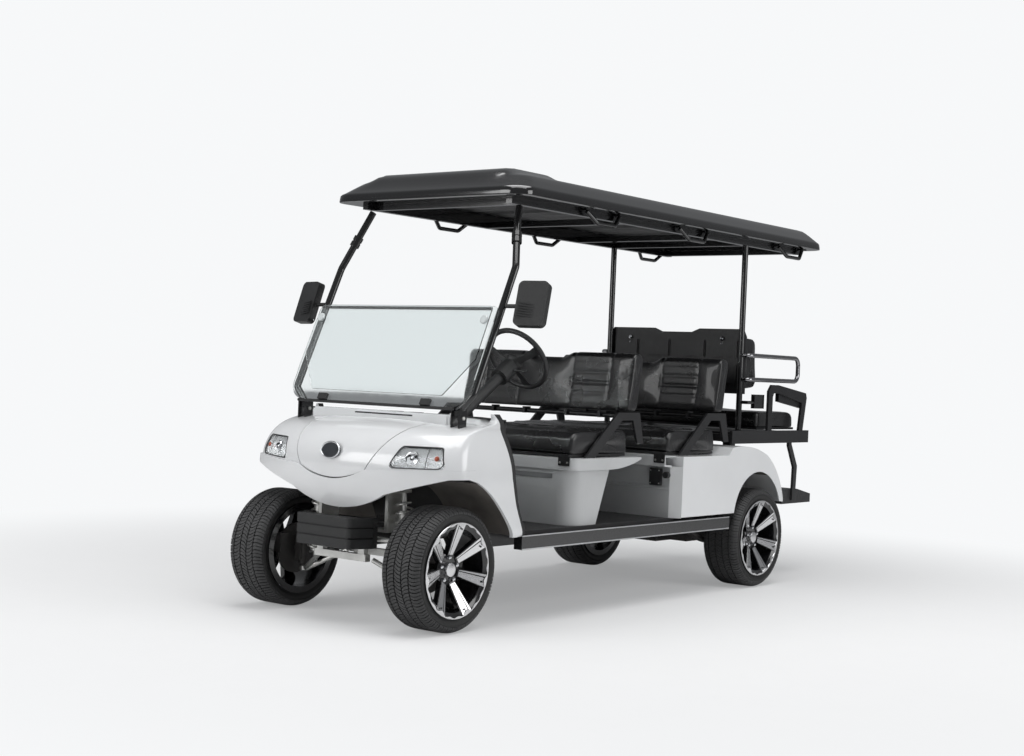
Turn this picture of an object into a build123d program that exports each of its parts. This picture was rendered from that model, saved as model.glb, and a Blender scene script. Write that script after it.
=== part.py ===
"""Six-seat golf cart, in millimetres.

+Z is up, the cart faces -Y, and its left side is +X. The origin is on the ground at the middle
of the cart's box. Distances along the cart are given from the front axle, rearward positive:
the planes below add the front axle's place.
"""

import os
from math import cos, radians, sin

from build123d import *

os.makedirs("parts", exist_ok=True)

# ---------------------------------------------------------------- driving dimensions
WHEELBASE = 2424.0
TYRE_RADIUS = 260.0
PLATFORM_REAR = 3286.0
FRONT_AXLE = -(PLATFORM_REAR - TYRE_RADIUS) / 2
FRONT_WHEEL_X = 457.0
REAR_WHEEL_X = 513.0
KINGPIN_X = 350.0
BODY_HALF = 602.0
WALL = 6.0

RIM_RADIUS = 200.0
BEAD_RADIUS = 186.6
BARREL_INNER = 172.0
HALF_TREAD = 104.0
LIP_OUT = 101.0
SPOKES = 7
SPINDLE_RADIUS = 17.0

FLOOR_TOP = 400.0
RAIL_X = 300.0
RAIL_TOP = 385.0
SEAT_PITCH = 810.0
SEAT_HALF = 512.0
SEAT_LEVEL = 716.0
FLANGE_TOP = 706.0

POST_X = 430.0
POST_Y = 2465.0
POST_RADIUS = 16.0
RAIL_SIDE = 494.0

ROOF_BASE = 1850.0
ROOF_FRONT = 308.0
ROOF_REAR = 3128.0
ROOF_HALF = 566.0
ROOF_INNER_X = 430.0

WHEEL_CENTRE = (260.0, 722.0, 1149.0)
WHEEL_RING = 152.0
COLUMN_TILT = 34.0


def level(z):
    """Horizontal plane at height z: local x is X, local y runs back from the front axle."""
    return Plane(origin=(0, FRONT_AXLE, z))


def side(x):
    """Upright lengthwise plane at x: local x runs back from the front axle, local y is up."""
    return Plane(origin=(x, FRONT_AXLE, 0), x_dir=(0, 1, 0), z_dir=(1, 0, 0))


def across(y):
    """Upright crosswise plane y behind the front axle: local x is X, local y is up."""
    return Plane(origin=(0, FRONT_AXLE + y, 0), x_dir=(1, 0, 0), z_dir=(0, -1, 0))


CAR = level(0)


def at(x, y, z):
    """A place given from the front axle."""
    return (x, FRONT_AXLE + y, z)


def bar(start, end, radius):
    """A round bar between two points given from the front axle."""
    base, tip = Vector(at(*start)), Vector(at(*end))
    with BuildPart() as rod:
        with BuildSketch(Plane(origin=base, z_dir=tip - base)):
            Circle(radius)
        extrude(amount=(tip - base).length)
    return rod.part


def bent_tube(points, radius, bend):
    """A round tube along straight runs that tangent arcs join."""
    with BuildPart() as tube:
        with BuildLine(CAR) as route:
            FilletPolyline(*points, radius=bend)
        with BuildSketch(Plane(origin=route.line @ 0, z_dir=route.line % 0)):
            Circle(radius)
        sweep(path=route.line)
    return tube.part


def both_sides(part):
    """A part and its mirror image across the cart."""
    return [part, mirror(part, about=Plane.YZ)]


# ---------------------------------------------------------------- chassis
with BuildPart() as frame_rails:
    # x, y, z, width, length, height of the left rail of each pair
    for x, y, z, wide, long, high in (
        (RAIL_X, 1665, 345, 60, 2390, 80),
        (115, 122.5, 357.5, 50, 595, 55),
    ):
        with Locations(at(x, y, z), at(-x, y, z)):
            Box(wide, long, high)
frame_rails.part.label = "frame_rails"
export_step(frame_rails.part, "parts/frame_rails.step")

with BuildPart() as frame_crossmembers:
    with Locations(at(0, 445, 357.5)):
        Box(660, 50, 55)
    for y in (1080, 1700, 2180, 2830):
        with Locations(at(0, y, 345)):
            Box(540, 50, 60)
    for y in (700, 1350, 1990):
        with Locations(at(445, y, 350), at(-445, y, 350)):
            Box(230, 40, 40)
frame_crossmembers.part.label = "frame_crossmembers"
export_step(frame_crossmembers.part, "parts/frame_crossmembers.step")

with BuildPart() as front_subframe:
    with Locations(at(0, -109, 276)):
        Box(300, 30, 30)
    with Locations(at(0, 100, 276)):
        Box(240, 26, 30)
    for y in (-109, 100):
        with Locations(at(122, y, 310.5), at(-122, y, 310.5)):
            Box(36, 26, 39)
    # Shock towers stand on the front rails.
    for hand in (1, -1):
        with Locations(at(hand * 157, 0, 391)):
            Box(94, 110, 12)
        with Locations(at(hand * 196, 0, 481)):
            Box(16, 110, 178)
        with Locations(at(hand * 224, 0, 564)):
            Box(72, 60, 12)
front_subframe.part.label = "front_subframe"
export_step(front_subframe.part, "parts/front_subframe.step")

with BuildPart() as floor_pan:
    with BuildSketch(level(RAIL_TOP)):
        with Locations((0, 1018)):
            Rectangle(1116, 1254)
        with Locations((0, 1952)):
            Rectangle(740, 614)
    extrude(amount=FLOOR_TOP - RAIL_TOP)
floor_pan.part.label = "floor_pan"
export_step(floor_pan.part, "parts/floor_pan.step")

with BuildPart() as rocker_panels:
    for x in (581.5, -581.5):
        with Locations(at(x, 1239, 355.5)):
            Box(43, 1749, 57)
rocker_panels.part.label = "rocker_panels"
export_step(rocker_panels.part, "parts/rocker_panels.step")

# Battery tray under the front seat: one plain block.
with BuildPart() as battery_pack:
    with Locations(at(0, 900, 511)):
        Box(600, 150, 222)
battery_pack.part.label = "battery_pack"
export_step(battery_pack.part, "parts/battery_pack.step")

# ---------------------------------------------------------------- front suspension
arms = []
# level of the inner pivots, level of the ball joint, inner x
for pivot_z, joint_z, inner_x in ((268, 176, 156), (358, 350, 148)):
    for pivot_y in (-84, 84):
        start = (inner_x, pivot_y, pivot_z)
        arms += both_sides(bar(start, (KINGPIN_X - 26, pivot_y * 0.08, joint_z), 11))
    for puck in both_sides(bar((KINGPIN_X - 14, 0, joint_z - 9), (KINGPIN_X - 14, 0, joint_z + 9), 22)):
        arms.append(puck)
arms += both_sides(bar((272, 0, 215), (244, 0, 557), 11))
arms += both_sides(bar((268, 0, 262), (250, 0, 480), 26))

with BuildPart() as front_suspension:
    add(arms)
front_suspension.part.label = "front_suspension"
export_step(front_suspension.part, "parts/front_suspension.step")

# The knuckle turns on the kingpin and carries the spindle, brake disc and steering arm.
knuckle_pieces = [
    bar((KINGPIN_X, 0, 194), (KINGPIN_X, 0, 332), 17),
    bar((KINGPIN_X, 0, 260), (FRONT_WHEEL_X + 46, 0, 260), SPINDLE_RADIUS),
    bar((392, 0, 260), (402, 0, 260), 112),
    bar((KINGPIN_X - 13, 125, 284), (KINGPIN_X - 13, 125, 300), 16),
]
with BuildPart() as knuckle_left:
    add(knuckle_pieces)
    with Locations(at(KINGPIN_X + 6, 0, 262)):
        Box(34, 56, 96)
    with Locations(at(KINGPIN_X - 9, 72, 292)):
        Box(18, 110, 16)
    with Locations(at(394, -96, 290)):
        Box(44, 46, 84)
knuckle_left.part.label = "knuckle_left"
export_step(knuckle_left.part, "parts/knuckle_left.step")

with BuildPart() as knuckle_right:
    add(mirror(knuckle_left.part, about=Plane.YZ))
knuckle_right.part.label = "knuckle_right"
export_step(knuckle_right.part, "parts/knuckle_right.step")

# The tie rod slides sideways under the two steering arms.
tie_rod = [bar((-337, 125, 268), (337, 125, 268), 10)]
tie_rod += both_sides(bar((337, 125, 260), (337, 125, 277), 15))
with BuildPart() as steering_link:
    add(tie_rod)
steering_link.part.label = "steering_link"
export_step(steering_link.part, "parts/steering_link.step")

# ---------------------------------------------------------------- rear axle
with BuildPart() as rear_axle:
    add(bar((-430, WHEELBASE, 260), (430, WHEELBASE, 260), 30))
    add(both_sides(bar((430, WHEELBASE, 260), (REAR_WHEEL_X + 46, WHEELBASE, 260), SPINDLE_RADIUS)))
    add(both_sides(bar((440, WHEELBASE, 260), (452, WHEELBASE, 260), 95)))
    with Locations(at(-60, WHEELBASE, 265)):
        Box(170, 200, 150)
    with Locations(at(110, WHEELBASE, 270)):
        Box(190, 150, 130)
    # Leaf springs: an arc of leaves under each side, through which the axle's tube passes.
    for x in (350, -394):
        with BuildSketch(side(x)):
            with BuildLine():
                ThreePointArc((2030, 318), (WHEELBASE, 205), (2820, 318))
                Line((2820, 318), (2826, 330))
                ThreePointArc((2826, 330), (WHEELBASE, 229), (2024, 330))
                Line((2024, 330), (2030, 318))
            make_face()
        extrude(amount=44)
rear_axle.part.label = "rear_axle"
export_step(rear_axle.part, "parts/rear_axle.step")

# ---------------------------------------------------------------- wheels
# Tyre section: distance out from the tyre's middle, radius.
TYRE_SECTION = ((91, 187), (92, 203.5), (HALF_TREAD, 222), (101, 240), (87, 255), (64, TYRE_RADIUS))
BARREL_SECTION = (
    (-LIP_OUT, BARREL_INNER), (-LIP_OUT, RIM_RADIUS), (-92.5, RIM_RADIUS), (-92.5, BEAD_RADIUS),
    (92.5, BEAD_RADIUS), (92.5, RIM_RADIUS), (LIP_OUT, RIM_RADIUS), (LIP_OUT, 176), (92, BARREL_INNER),
)
# The spokes lie between these lines, dished in towards the hub.
SPOKE_SECTION = ((24, 20), (50, 20), (52, 58), (96, 172), (96, 180), (72, 180), (66, 165), (24, 60))


def make_tyre(hub):
    """The tyre around a wheel's crosswise plane, whose origin is the wheel's middle."""
    section = [*TYRE_SECTION, *[(-u, r) for u, r in reversed(TYRE_SECTION)]]
    with BuildPart() as tyre:
        with BuildSketch(hub):
            Polygon(*section, align=None)
        revolve(axis=Axis(hub.origin, hub.x_dir))
    return tyre.part


def make_rim(hub):
    """The rim: barrel, dished spokes that widen outward, and a bored hub."""
    axle = Axis(hub.origin, hub.x_dir)
    face = Plane(origin=hub.origin, x_dir=(0, 1, 0), z_dir=(1, 0, 0))
    with BuildPart() as rim:
        with BuildSketch(face):
            with PolarLocations(0, SPOKES, start_angle=86):
                Polygon((20, -13), (182, -32), (182, 32), (20, 13), align=None)
            Circle(58)
        extrude(amount=LIP_OUT)
        with BuildSketch(hub):
            Polygon(*SPOKE_SECTION, align=None)
        revolve(axis=axle, mode=Mode.INTERSECT)
        with BuildSketch(hub):
            Polygon(*BARREL_SECTION, align=None)
        revolve(axis=axle)
        with BuildSketch(face):
            Circle(SPINDLE_RADIUS + 1)
        extrude(amount=LIP_OUT, mode=Mode.SUBTRACT)
    return rim.part


# place, wheel's middle x, axle's distance behind the front axle
for place, wheel_x, axle_y in (("front", FRONT_WHEEL_X, 0), ("rear", REAR_WHEEL_X, WHEELBASE)):
    wheel_plane = Plane(
        origin=(wheel_x, FRONT_AXLE + axle_y, TYRE_RADIUS), x_dir=(1, 0, 0), z_dir=(0, -1, 0)
    )
    for kind, left in (("tyre", make_tyre(wheel_plane)), ("rim", make_rim(wheel_plane))):
        for hand, piece in (("left", left), ("right", mirror(left, about=Plane.YZ))):
            name = f"{kind}_{place}_{hand}"
            piece.label = name
            export_step(piece, f"parts/{name}.step")

# ---------------------------------------------------------------- front cowl and hood
# Levels of the cowl: height, half width, y at the middle, y at the corners, corner radius.
COWL_LEVELS = (
    (376, 586, -70, 80, 90),
    (520, 590, -160, -20, 90),
    (645, 592, -206, -58, 90),
    (710, 586, -202, -52, 90),
    (775, 570, -160, -26, 90),
    (840, 551, -38, 92, 60),
    (904, 535, 196, 208, 40),
)
COWL_BACK = 470.0
LIP_DEPTH = 8.0
DASH_HALF = 518.0


def cowl_solid(inset, back):
    """The cowl's outer form, or the form inset by a wall's thickness."""
    with BuildPart() as form:
        for z, half, middle, corner, bend in COWL_LEVELS:
            steep = inset * (1 if z < 715 else 1.7 if z < 800 else 4.0)
            w = half - inset
            top = inset if z >= 900 else 0
            with BuildSketch(level(z - top)):
                with BuildLine():
                    ThreePointArc((-w, corner + steep), (0, middle + steep), (w, corner + steep))
                    Polyline((w, corner + steep), (w, back), (-w, back), (-w, corner + steep))
                outline = make_face()
                fillet(outline.vertices().sort_by(Axis.Y)[:2], radius=bend)
        loft()
    return form.part


cowl_inner = cowl_solid(WALL, COWL_BACK + 20)

# Kept part of the cowl seen from the side, and the hood's U-shaped seam seen from the front.
with BuildPart() as cowl_keep:
    with BuildSketch(side(-700)):
        with BuildLine():
            Polyline((-300, 360), (-300, 1000), (228, 1000), (228, 906))
            ThreePointArc((228, 906), (272, 760), (297, 633))
            Line((297, 633), (372, 385))
            Line((372, 385), (-300, 360))
        make_face()
    extrude(amount=1400)
    with Locations(at(0, 256, 900)):
        Box(2 * DASH_HALF + 8, 200, 200, mode=Mode.SUBTRACT)

# The lip that stands proud below a crease under the headlights and around the wheel arches.
with BuildPart() as lip_band:
    with BuildSketch(across(500)):
        with BuildLine():
            ThreePointArc((-190, 656), (0, 610), (190, 656))
            Polyline((190, 656), (300, 662), (560, 674), (700, 676), (700, 300), (-700, 300), (-700, 676),
                     (-560, 674), (-300, 662), (-190, 656))
        make_face()
    extrude(amount=900)
    with BuildSketch(side(-700)):
        with BuildLine():
            Polyline((-300, 300), (-300, 690), (0, 690), (0, 678))
            ThreePointArc((0, 678), (196, 612), (304, 470))
            Polyline((304, 470), (330, 380), (330, 300), (-300, 300))
        make_face()
    extrude(amount=1400, mode=Mode.INTERSECT)
with BuildPart() as cowl_outer_form:
    add(cowl_solid(-LIP_DEPTH, COWL_BACK))
    add(lip_band.part, mode=Mode.INTERSECT)
    add(cowl_solid(0, COWL_BACK))
cowl_outer = cowl_outer_form.part
with BuildPart() as chin_cut:
    with BuildSketch(across(500)):
        with BuildLine():
            ThreePointArc((-270, 556), (0, 484), (270, 556))
            Polyline((270, 556), (560, 636), (700, 640), (700, 300), (-700, 300), (-700, 640), (-560, 636),
                     (-270, 556))
        make_face()
    extrude(amount=900)
with BuildPart() as arch_keep:
    with BuildSketch(side(-700)):
        with BuildLine():
            Line((-8, 640), (60, 622))
            ThreePointArc((60, 622), (205, 522), (296, 384))
            Polyline((296, 384), (360, 384), (420, 384), (420, 700), (-8, 700), (-8, 640))
        make_face()
    extrude(amount=1400)


def seam_form(gap):
    """The hood's outline seen from the front, open at the top, widened by part of the seam's gap."""
    right = [(190 + gap, 656), (222 + gap, 706), (290 + gap, 835), (345 + gap, 900), (345 + gap, 1000)]
    left = [(-x, z) for x, z in reversed(right)]
    with BuildPart() as form:
        with BuildSketch(across(160)):
            with BuildLine():
                ThreePointArc(left[-1], (0, 610 - gap), right[0])
                Polyline(*right, *left)
            make_face()
        extrude(amount=500)
    return form.part


headlight_cuts = []
for hand in (1, -1):
    with BuildPart() as cut:
        with BuildSketch(across(0)):
            with BuildLine():
                Polyline(*[(hand * x, z) for x, z in ((296, 668), (540, 676), (512, 766), (338, 764))],
                         close=True)
            corners = make_face()
            fillet(corners.vertices(), radius=16)
        extrude(amount=400)
    headlight_cuts.append(cut.part)


with BuildPart() as lower_cut:
    add(chin_cut.part)
    add(arch_keep.part, mode=Mode.SUBTRACT)
with BuildPart() as cowl_shell:
    add(cowl_outer)
    add(cowl_inner, mode=Mode.SUBTRACT)
    add(cowl_keep.part, mode=Mode.INTERSECT)
    add(lower_cut.part, mode=Mode.SUBTRACT)

with BuildPart() as front_cowl:
    add(cowl_shell.part)
    add(seam_form(2.5), mode=Mode.SUBTRACT)
    add(headlight_cuts, mode=Mode.SUBTRACT)
front_cowl.part.label = "front_cowl"
export_step(front_cowl.part, "parts/front_cowl.step")

with BuildPart() as hood_panel:
    add(cowl_shell.part)
    add(seam_form(-2.5), mode=Mode.INTERSECT)
hood_panel.part.label = "hood_panel"
export_step(hood_panel.part, "parts/hood_panel.step")

with BuildPart() as headlights:
    add(cowl_shell.part)
    add(headlight_cuts, mode=Mode.INTERSECT)
headlights.part.label = "headlights"
export_step(headlights.part, "parts/headlights.step")

# Blank oval badge standing on the hood.
with BuildPart() as badge_plate:
    with BuildSketch(Plane(origin=(0, FRONT_AXLE - 199, 726), x_dir=(1, 0, 0), z_dir=(0, -0.98, 0.2))):
        Ellipse(55, 37)
    extrude(amount=6)
    add(cowl_outer, mode=Mode.SUBTRACT)
badge_plate.part.label = "badge_plate"
export_step(badge_plate.part, "parts/badge_plate.step")

# Black rubber strip along the cowl's rear edge.
with BuildPart() as cowl_trim:
    with BuildSketch(side(-700), side(DASH_HALF + 4)):
        with BuildLine():
            ThreePointArc((260, 906), (300, 760), (318, 633))
            Polyline((318, 633), (388, 385), (374, 385), (299, 633))
            ThreePointArc((299, 633), (274, 760), (230, 906))
            Line((230, 906), (260, 906))
        make_face()
    extrude(amount=700 - DASH_HALF - 4)
    add(cowl_solid(0, COWL_BACK), mode=Mode.INTERSECT)
    add(cowl_solid(14, COWL_BACK + 20), mode=Mode.SUBTRACT)
cowl_trim.part.label = "cowl_trim"
export_step(cowl_trim.part, "parts/cowl_trim.step")

# Wheel wells: arc-shaped liners inside the front and rear arches.
with BuildPart() as wheel_wells:
    # axle's distance, arc radius, first and last angle from the rearward direction, inner x, width
    for axle_y, radius, low, high, x, wide in (
        (0, 366, 20.5, 84, 225, 353),
        (WHEELBASE, 372, 62, 148, 385, 208),
    ):
        for start in (x, -x - wide):
            hub = Plane(
                origin=(start, FRONT_AXLE + axle_y, TYRE_RADIUS), x_dir=(0, 1, 0), z_dir=(1, 0, 0)
            )
            with BuildSketch(hub):
                with BuildLine():
                    CenterArc((0, 0), radius, low, high - low)
                    CenterArc((0, 0), radius - 4, low, high - low)
                    for angle in (low, high):
                        c, s = cos(radians(angle)), sin(radians(angle))
                        Line(((radius - 4) * c, (radius - 4) * s), (radius * c, radius * s))
                make_face()
            extrude(amount=wide)
wheel_wells.part.label = "wheel_wells"
export_step(wheel_wells.part, "parts/wheel_wells.step")

# Bumper: a ribbed block that wraps back at its ends.
with BuildPart() as front_bumper:
    with BuildSketch(level(322)):
        with BuildLine():
            Polyline((-155, -239), (155, -239), (197, -133), (197, -105), (168, -105), (146, -175),
                     (-146, -175), (-168, -105), (-197, -105), (-197, -133), close=True)
        outline = make_face()
        fillet(outline.vertices().group_by(Axis.Y)[0], radius=24)
    extrude(amount=129)
    for z in (362, 406):
        with BuildSketch(level(z)):
            with BuildLine():
                Polyline((-149, -233), (149, -233), (190, -130), (260, -130), (260, -300), (-260, -300),
                         (-260, -130), (-190, -130), close=True)
            groove = make_face()
            fillet(groove.vertices().filter_by(lambda v: abs(v.Y - FRONT_AXLE + 233) < 1), radius=20)
        extrude(amount=7, mode=Mode.SUBTRACT)
front_bumper.part.label = "front_bumper"
export_step(front_bumper.part, "parts/front_bumper.step")

# ---------------------------------------------------------------- dash, column, pedals
CUP_RADIUS = 38.0
CUP_DEPTH = 80.0
with BuildPart() as dashboard:
    with BuildSketch(side(-DASH_HALF)):
        with BuildLine():
            Polyline((168, 892), (330, 880), (322, 690), (345, 520), (384, 402), (378, 402), (339, 520),
                     (316, 690), (324, 874), (168, 886), close=True)
        make_face()
    extrude(amount=2 * DASH_HALF)
    with BuildSketch(level(800)):
        with Locations((-60, 250), (60, 250)):
            Circle(CUP_RADIUS + 4)
    extrude(amount=91)
    with BuildSketch(level(880 - CUP_DEPTH + 6)):
        with Locations((-60, 250), (60, 250)):
            Circle(CUP_RADIUS)
    extrude(amount=120, mode=Mode.SUBTRACT)
dashboard.part.label = "dashboard"
export_step(dashboard.part, "parts/dashboard.step")

with BuildPart() as pedals:
    # x, width of each pedal pad
    for x, wide in ((170, 90), (320, 60)):
        with BuildSketch(Plane(origin=(x, FRONT_AXLE + 400, 470), x_dir=(1, 0, 0), z_dir=(0, 0.8, 0.6))):
            RectangleRounded(wide, 110, 12)
        extrude(amount=12)
        add(bar((x, 362, 520), (x, 402, 476), 8))
pedals.part.label = "pedals"
export_step(pedals.part, "parts/pedals.step")

axis_y, axis_z = cos(radians(COLUMN_TILT)), sin(radians(COLUMN_TILT))


def on_column(distance):
    """A point on the steering column's axis, measured from the wheel's ring towards the driver."""
    x, y, z = WHEEL_CENTRE
    return (x, y + distance * axis_y, z + distance * axis_z)


with BuildPart() as steering_column:
    add(bar(on_column(-66), on_column(-160), 42))
    add(bar(on_column(-160), on_column(-456), 24))
steering_column.part.label = "steering_column"
export_step(steering_column.part, "parts/steering_column.step")

ring_point = Vector(at(*WHEEL_CENTRE))
column_axis = Axis(ring_point, (0, axis_y, axis_z))
with BuildPart() as steering_wheel:
    with BuildSketch(Plane(origin=ring_point, x_dir=(1, 0, 0), z_dir=(0, -axis_z, axis_y))):
        with Locations((WHEEL_RING, 0)):
            Circle(13)
    revolve(axis=column_axis)
    add(bar(on_column(-60), on_column(-30), 30))
    for angle in (20, 160, 270):
        out = Vector(cos(radians(angle)), -sin(radians(angle)) * axis_z, sin(radians(angle)) * axis_y)
        start = Vector(*on_column(-44)) + out * 20
        add(bar(tuple(start), tuple(Vector(*WHEEL_CENTRE) + out * WHEEL_RING), 8))
steering_wheel.part.label = "steering_wheel"
export_step(steering_wheel.part, "parts/steering_wheel.step")

# ---------------------------------------------------------------- seat pods and rear body


def front_pod_form(inset, top):
    """The front pod below its flange: upright front, rear wall that leans back as it rises."""
    with BuildPart() as form:
        with BuildSketch(side(-545 + inset)):
            with BuildLine():
                Polyline((797 + inset, FLOOR_TOP), (990 - inset, FLOOR_TOP), (1090 - inset, top),
                         (797 + inset, top), close=True)
            make_face()
        extrude(amount=1090 - 2 * inset)
        fillet(form.edges().filter_by(Axis.Z).group_by(Axis.Y)[0], radius=90 - inset)
    return form.part


def flange_form(inset, keel):
    """The pod's flange: a tray whose underside sweeps up to a thin edge at the rear."""
    front, rear = 785 + inset, 1331 - inset
    with BuildPart() as form:
        with BuildSketch(side(-560 + inset)):
            with BuildLine():
                Polyline((1058, 652 + inset), (front, 652 + inset), (front, FLANGE_TOP - inset),
                         (rear, FLANGE_TOP - inset), (rear, keel))
                ThreePointArc((rear, keel), (1200, 663 + inset), (1058, 652 + inset))
            make_face()
        extrude(amount=2 * (560 - inset))
        fillet(form.edges().filter_by(Axis.Z).group_by(Axis.Y)[0], radius=40)
    return form.part


with BuildPart() as front_seat_pod:
    add(front_pod_form(0, 664))
    add(flange_form(0, 696))
    add(flange_form(WALL, 698), mode=Mode.SUBTRACT)
    with BuildSketch(level(FLANGE_TOP - 2 * WALL)):
        with Locations((0, 1040)):
            RectangleRounded(1010, 410, 20)
    extrude(amount=2 * WALL, mode=Mode.SUBTRACT)
    add(front_pod_form(WALL, 668), mode=Mode.SUBTRACT)
front_seat_pod.part.label = "front_seat_pod"
export_step(front_seat_pod.part, "parts/front_seat_pod.step")

# The rear footwell's riser: a folded wall whose ends turn back to meet the rear body.
with BuildPart() as middle_seat_pod:
    with BuildSketch(level(FLOOR_TOP)):
        Polygon((-602, 1644), (-552, 1604), (552, 1604), (602, 1644), (594, 1644), (550, 1610),
                (-550, 1610), (-594, 1644), align=None)
    extrude(amount=254)
    with BuildSketch(side(-560)):
        with BuildLine():
            Polyline((1604, 650), (1610, 650), (1604, 660), (1548, 664), (1548, 700), (1643, 700),
                     (1643, FLANGE_TOP), (1540, FLANGE_TOP), (1540, 656), (1596, 650), close=True)
        make_face()
    extrude(amount=1120)
middle_seat_pod.part.label = "middle_seat_pod"
export_step(middle_seat_pod.part, "parts/middle_seat_pod.step")

with BuildPart() as charge_port:
    with Locations(at(480, 1589, 600)):
        Box(66, 14, 84)
    add(bar((545, 1596, 612), (545, 1572, 612), 16))
charge_port.part.label = "charge_port"
export_step(charge_port.part, "parts/charge_port.step")


def rear_form(inset, low):
    """The rear body's form from the side: sill, top ledge, fender crown and tail."""
    d = inset
    with BuildPart() as form:
        with BuildSketch(side(-BODY_HALF + d)):
            with BuildLine():
                Polyline((1645 + d, low), (1645 + d, 704 - d), (2092, 704 - d), (2128, 744 - d))
                ThreePointArc((2128, 744 - d), (2330, 742 - d), (2492, 700 - d))
                ThreePointArc((2492, 700 - d), (2614, 596), (2684 - d, 462))
                Polyline((2684 - d, 462), (2684 - d, low), (1645 + d, low))
            make_face()
        extrude(amount=2 * (BODY_HALF - d))
    return form.part


with BuildPart() as rear_body:
    add(rear_form(0, 404))
    add(rear_form(WALL, 300), mode=Mode.SUBTRACT)
    with BuildSketch(side(-700)):
        with BuildLine():
            Line((2160, 300), (2160, 404))
            ThreePointArc((2160, 404), (2410, 612), (2646, 448))
            Line((2646, 448), (2700, 440))
            Polyline((2700, 440), (2700, 300), (2160, 300))
        make_face()
    extrude(amount=1400, mode=Mode.SUBTRACT)
    with BuildSketch(level(560)):
        with Locations((0, 2290)):
            Rectangle(752, 780)
    extrude(amount=300, mode=Mode.SUBTRACT)
rear_body.part.label = "rear_body"
export_step(rear_body.part, "parts/rear_body.step")

with BuildPart() as tail_lights:
    for x in (490, -490):
        add(bar((x, 2684.3, 520), (x, 2704, 520), 34))
tail_lights.part.label = "tail_lights"
export_step(tail_lights.part, "parts/tail_lights.step")

# ---------------------------------------------------------------- seats
# place, distance behind the front row
for place, shift in (("front", 0), ("middle", SEAT_PITCH)):
    with BuildPart() as seat_board:
        with BuildSketch(level(SEAT_LEVEL - 6)):
            with Locations((0, 1050 + shift)):
                RectangleRounded(1010, 470, 20)
        extrude(amount=12)
    seat_board.part.label = f"{place}_seat_board"
    export_step(seat_board.part, f"parts/{place}_seat_board.step")

    with BuildPart() as cushion:
        with BuildSketch(side(-SEAT_HALF)):
            with BuildLine():
                Polyline((818 + shift, SEAT_LEVEL + 6), (1286 + shift, SEAT_LEVEL + 6), (1274 + shift, 840),
                         (880 + shift, 836), (818 + shift, 800), close=True)
            make_face()
        extrude(amount=2 * SEAT_HALF)
        fillet(cushion.edges().filter_by(Axis.X).group_by(Axis.Z)[1:], radius=22)
    cushion.part.label = f"{place}_seat_cushion"
    export_step(cushion.part, f"parts/{place}_seat_cushion.step")

    with BuildPart() as seat_back:
        with BuildSketch(side(-SEAT_HALF)):
            with BuildLine():
                Polyline((1262 + shift, 918), (1345 + shift, 918), (1388 + shift, 1160), (1370 + shift, 1198),
                         (1322 + shift, 1198), (1300 + shift, 1160), close=True)
            make_face()
        extrude(amount=2 * SEAT_HALF)
        fillet(seat_back.edges().filter_by(Axis.X), radius=14)
    seat_back.part.label = f"{place}_seat_back"
    export_step(seat_back.part, f"parts/{place}_seat_back.step")

# Bent plates that carry each back, one at each end of a row, with their cross tube and brackets.
with BuildPart() as seat_side_frames:
    for shift in (0, SEAT_PITCH):
        for x in (SEAT_HALF + 8, -SEAT_HALF - 20):
            with BuildSketch(side(x)):
                with BuildLine():
                    Polyline((905 + shift, FLANGE_TOP), (985 + shift, FLANGE_TOP), (1200 + shift, 880),
                             (1290 + shift, 880), (1335 + shift, 768), (1385 + shift, 768),
                             (1345 + shift, 917), (1165 + shift, 917), close=True)
                make_face()
            extrude(amount=12)
        add(bar((-SEAT_HALF - 8, 1305 + shift, 898), (SEAT_HALF + 8, 1305 + shift, 898), 12))
        for x in (-330, -130, 130, 330):
            with BuildSketch(side(x)):
                with Locations((1302 + shift, 902)):
                    Rectangle(50, 32)
            extrude(amount=14)
seat_side_frames.part.label = "seat_side_frames"
export_step(seat_side_frames.part, "parts/seat_side_frames.step")

# ---------------------------------------------------------------- rear-facing flip seat
with BuildPart() as rear_back_shell:
    with BuildSketch(across(2486)):
        with BuildLine():
            Polyline((-440, 1020), (440, 1020), (440, 1330), (420, 1372), (150, 1372), (100, 1352), (-100, 1352),
                     (-150, 1372), (-420, 1372), (-440, 1330), close=True)
        make_face()
    extrude(amount=-20)
rear_back_shell.part.label = "rear_back_shell"
export_step(rear_back_shell.part, "parts/rear_back_shell.step")

with BuildPart() as rear_seat_back:
    with BuildSketch(side(-436)):
        with BuildLine():
            Polyline((2506, 1048), (2630, 1056), (2640, 1100), (2622, 1300), (2590, 1330), (2506, 1330),
                     close=True)
        make_face()
    extrude(amount=872)
rear_seat_back.part.label = "rear_seat_back"
export_step(rear_seat_back.part, "parts/rear_seat_back.step")

FLIP_HALF = 458.0
with BuildPart() as rear_seat_deck:
    with Locations(at(0, 2826, 834)):
        Box(2 * FLIP_HALF, 428, 12)
rear_seat_deck.part.label = "rear_seat_deck"
export_step(rear_seat_deck.part, "parts/rear_seat_deck.step")

with BuildPart() as rear_seat_cushion:
    with BuildSketch(side(-FLIP_HALF)):
        with BuildLine():
            Polyline((2612, 840), (3038, 840), (3036, 900), (3000, 925), (2612, 925), close=True)
        make_face()
    extrude(amount=2 * FLIP_HALF)
rear_seat_cushion.part.label = "rear_seat_cushion"
export_step(rear_seat_cushion.part, "parts/rear_seat_cushion.step")

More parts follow.
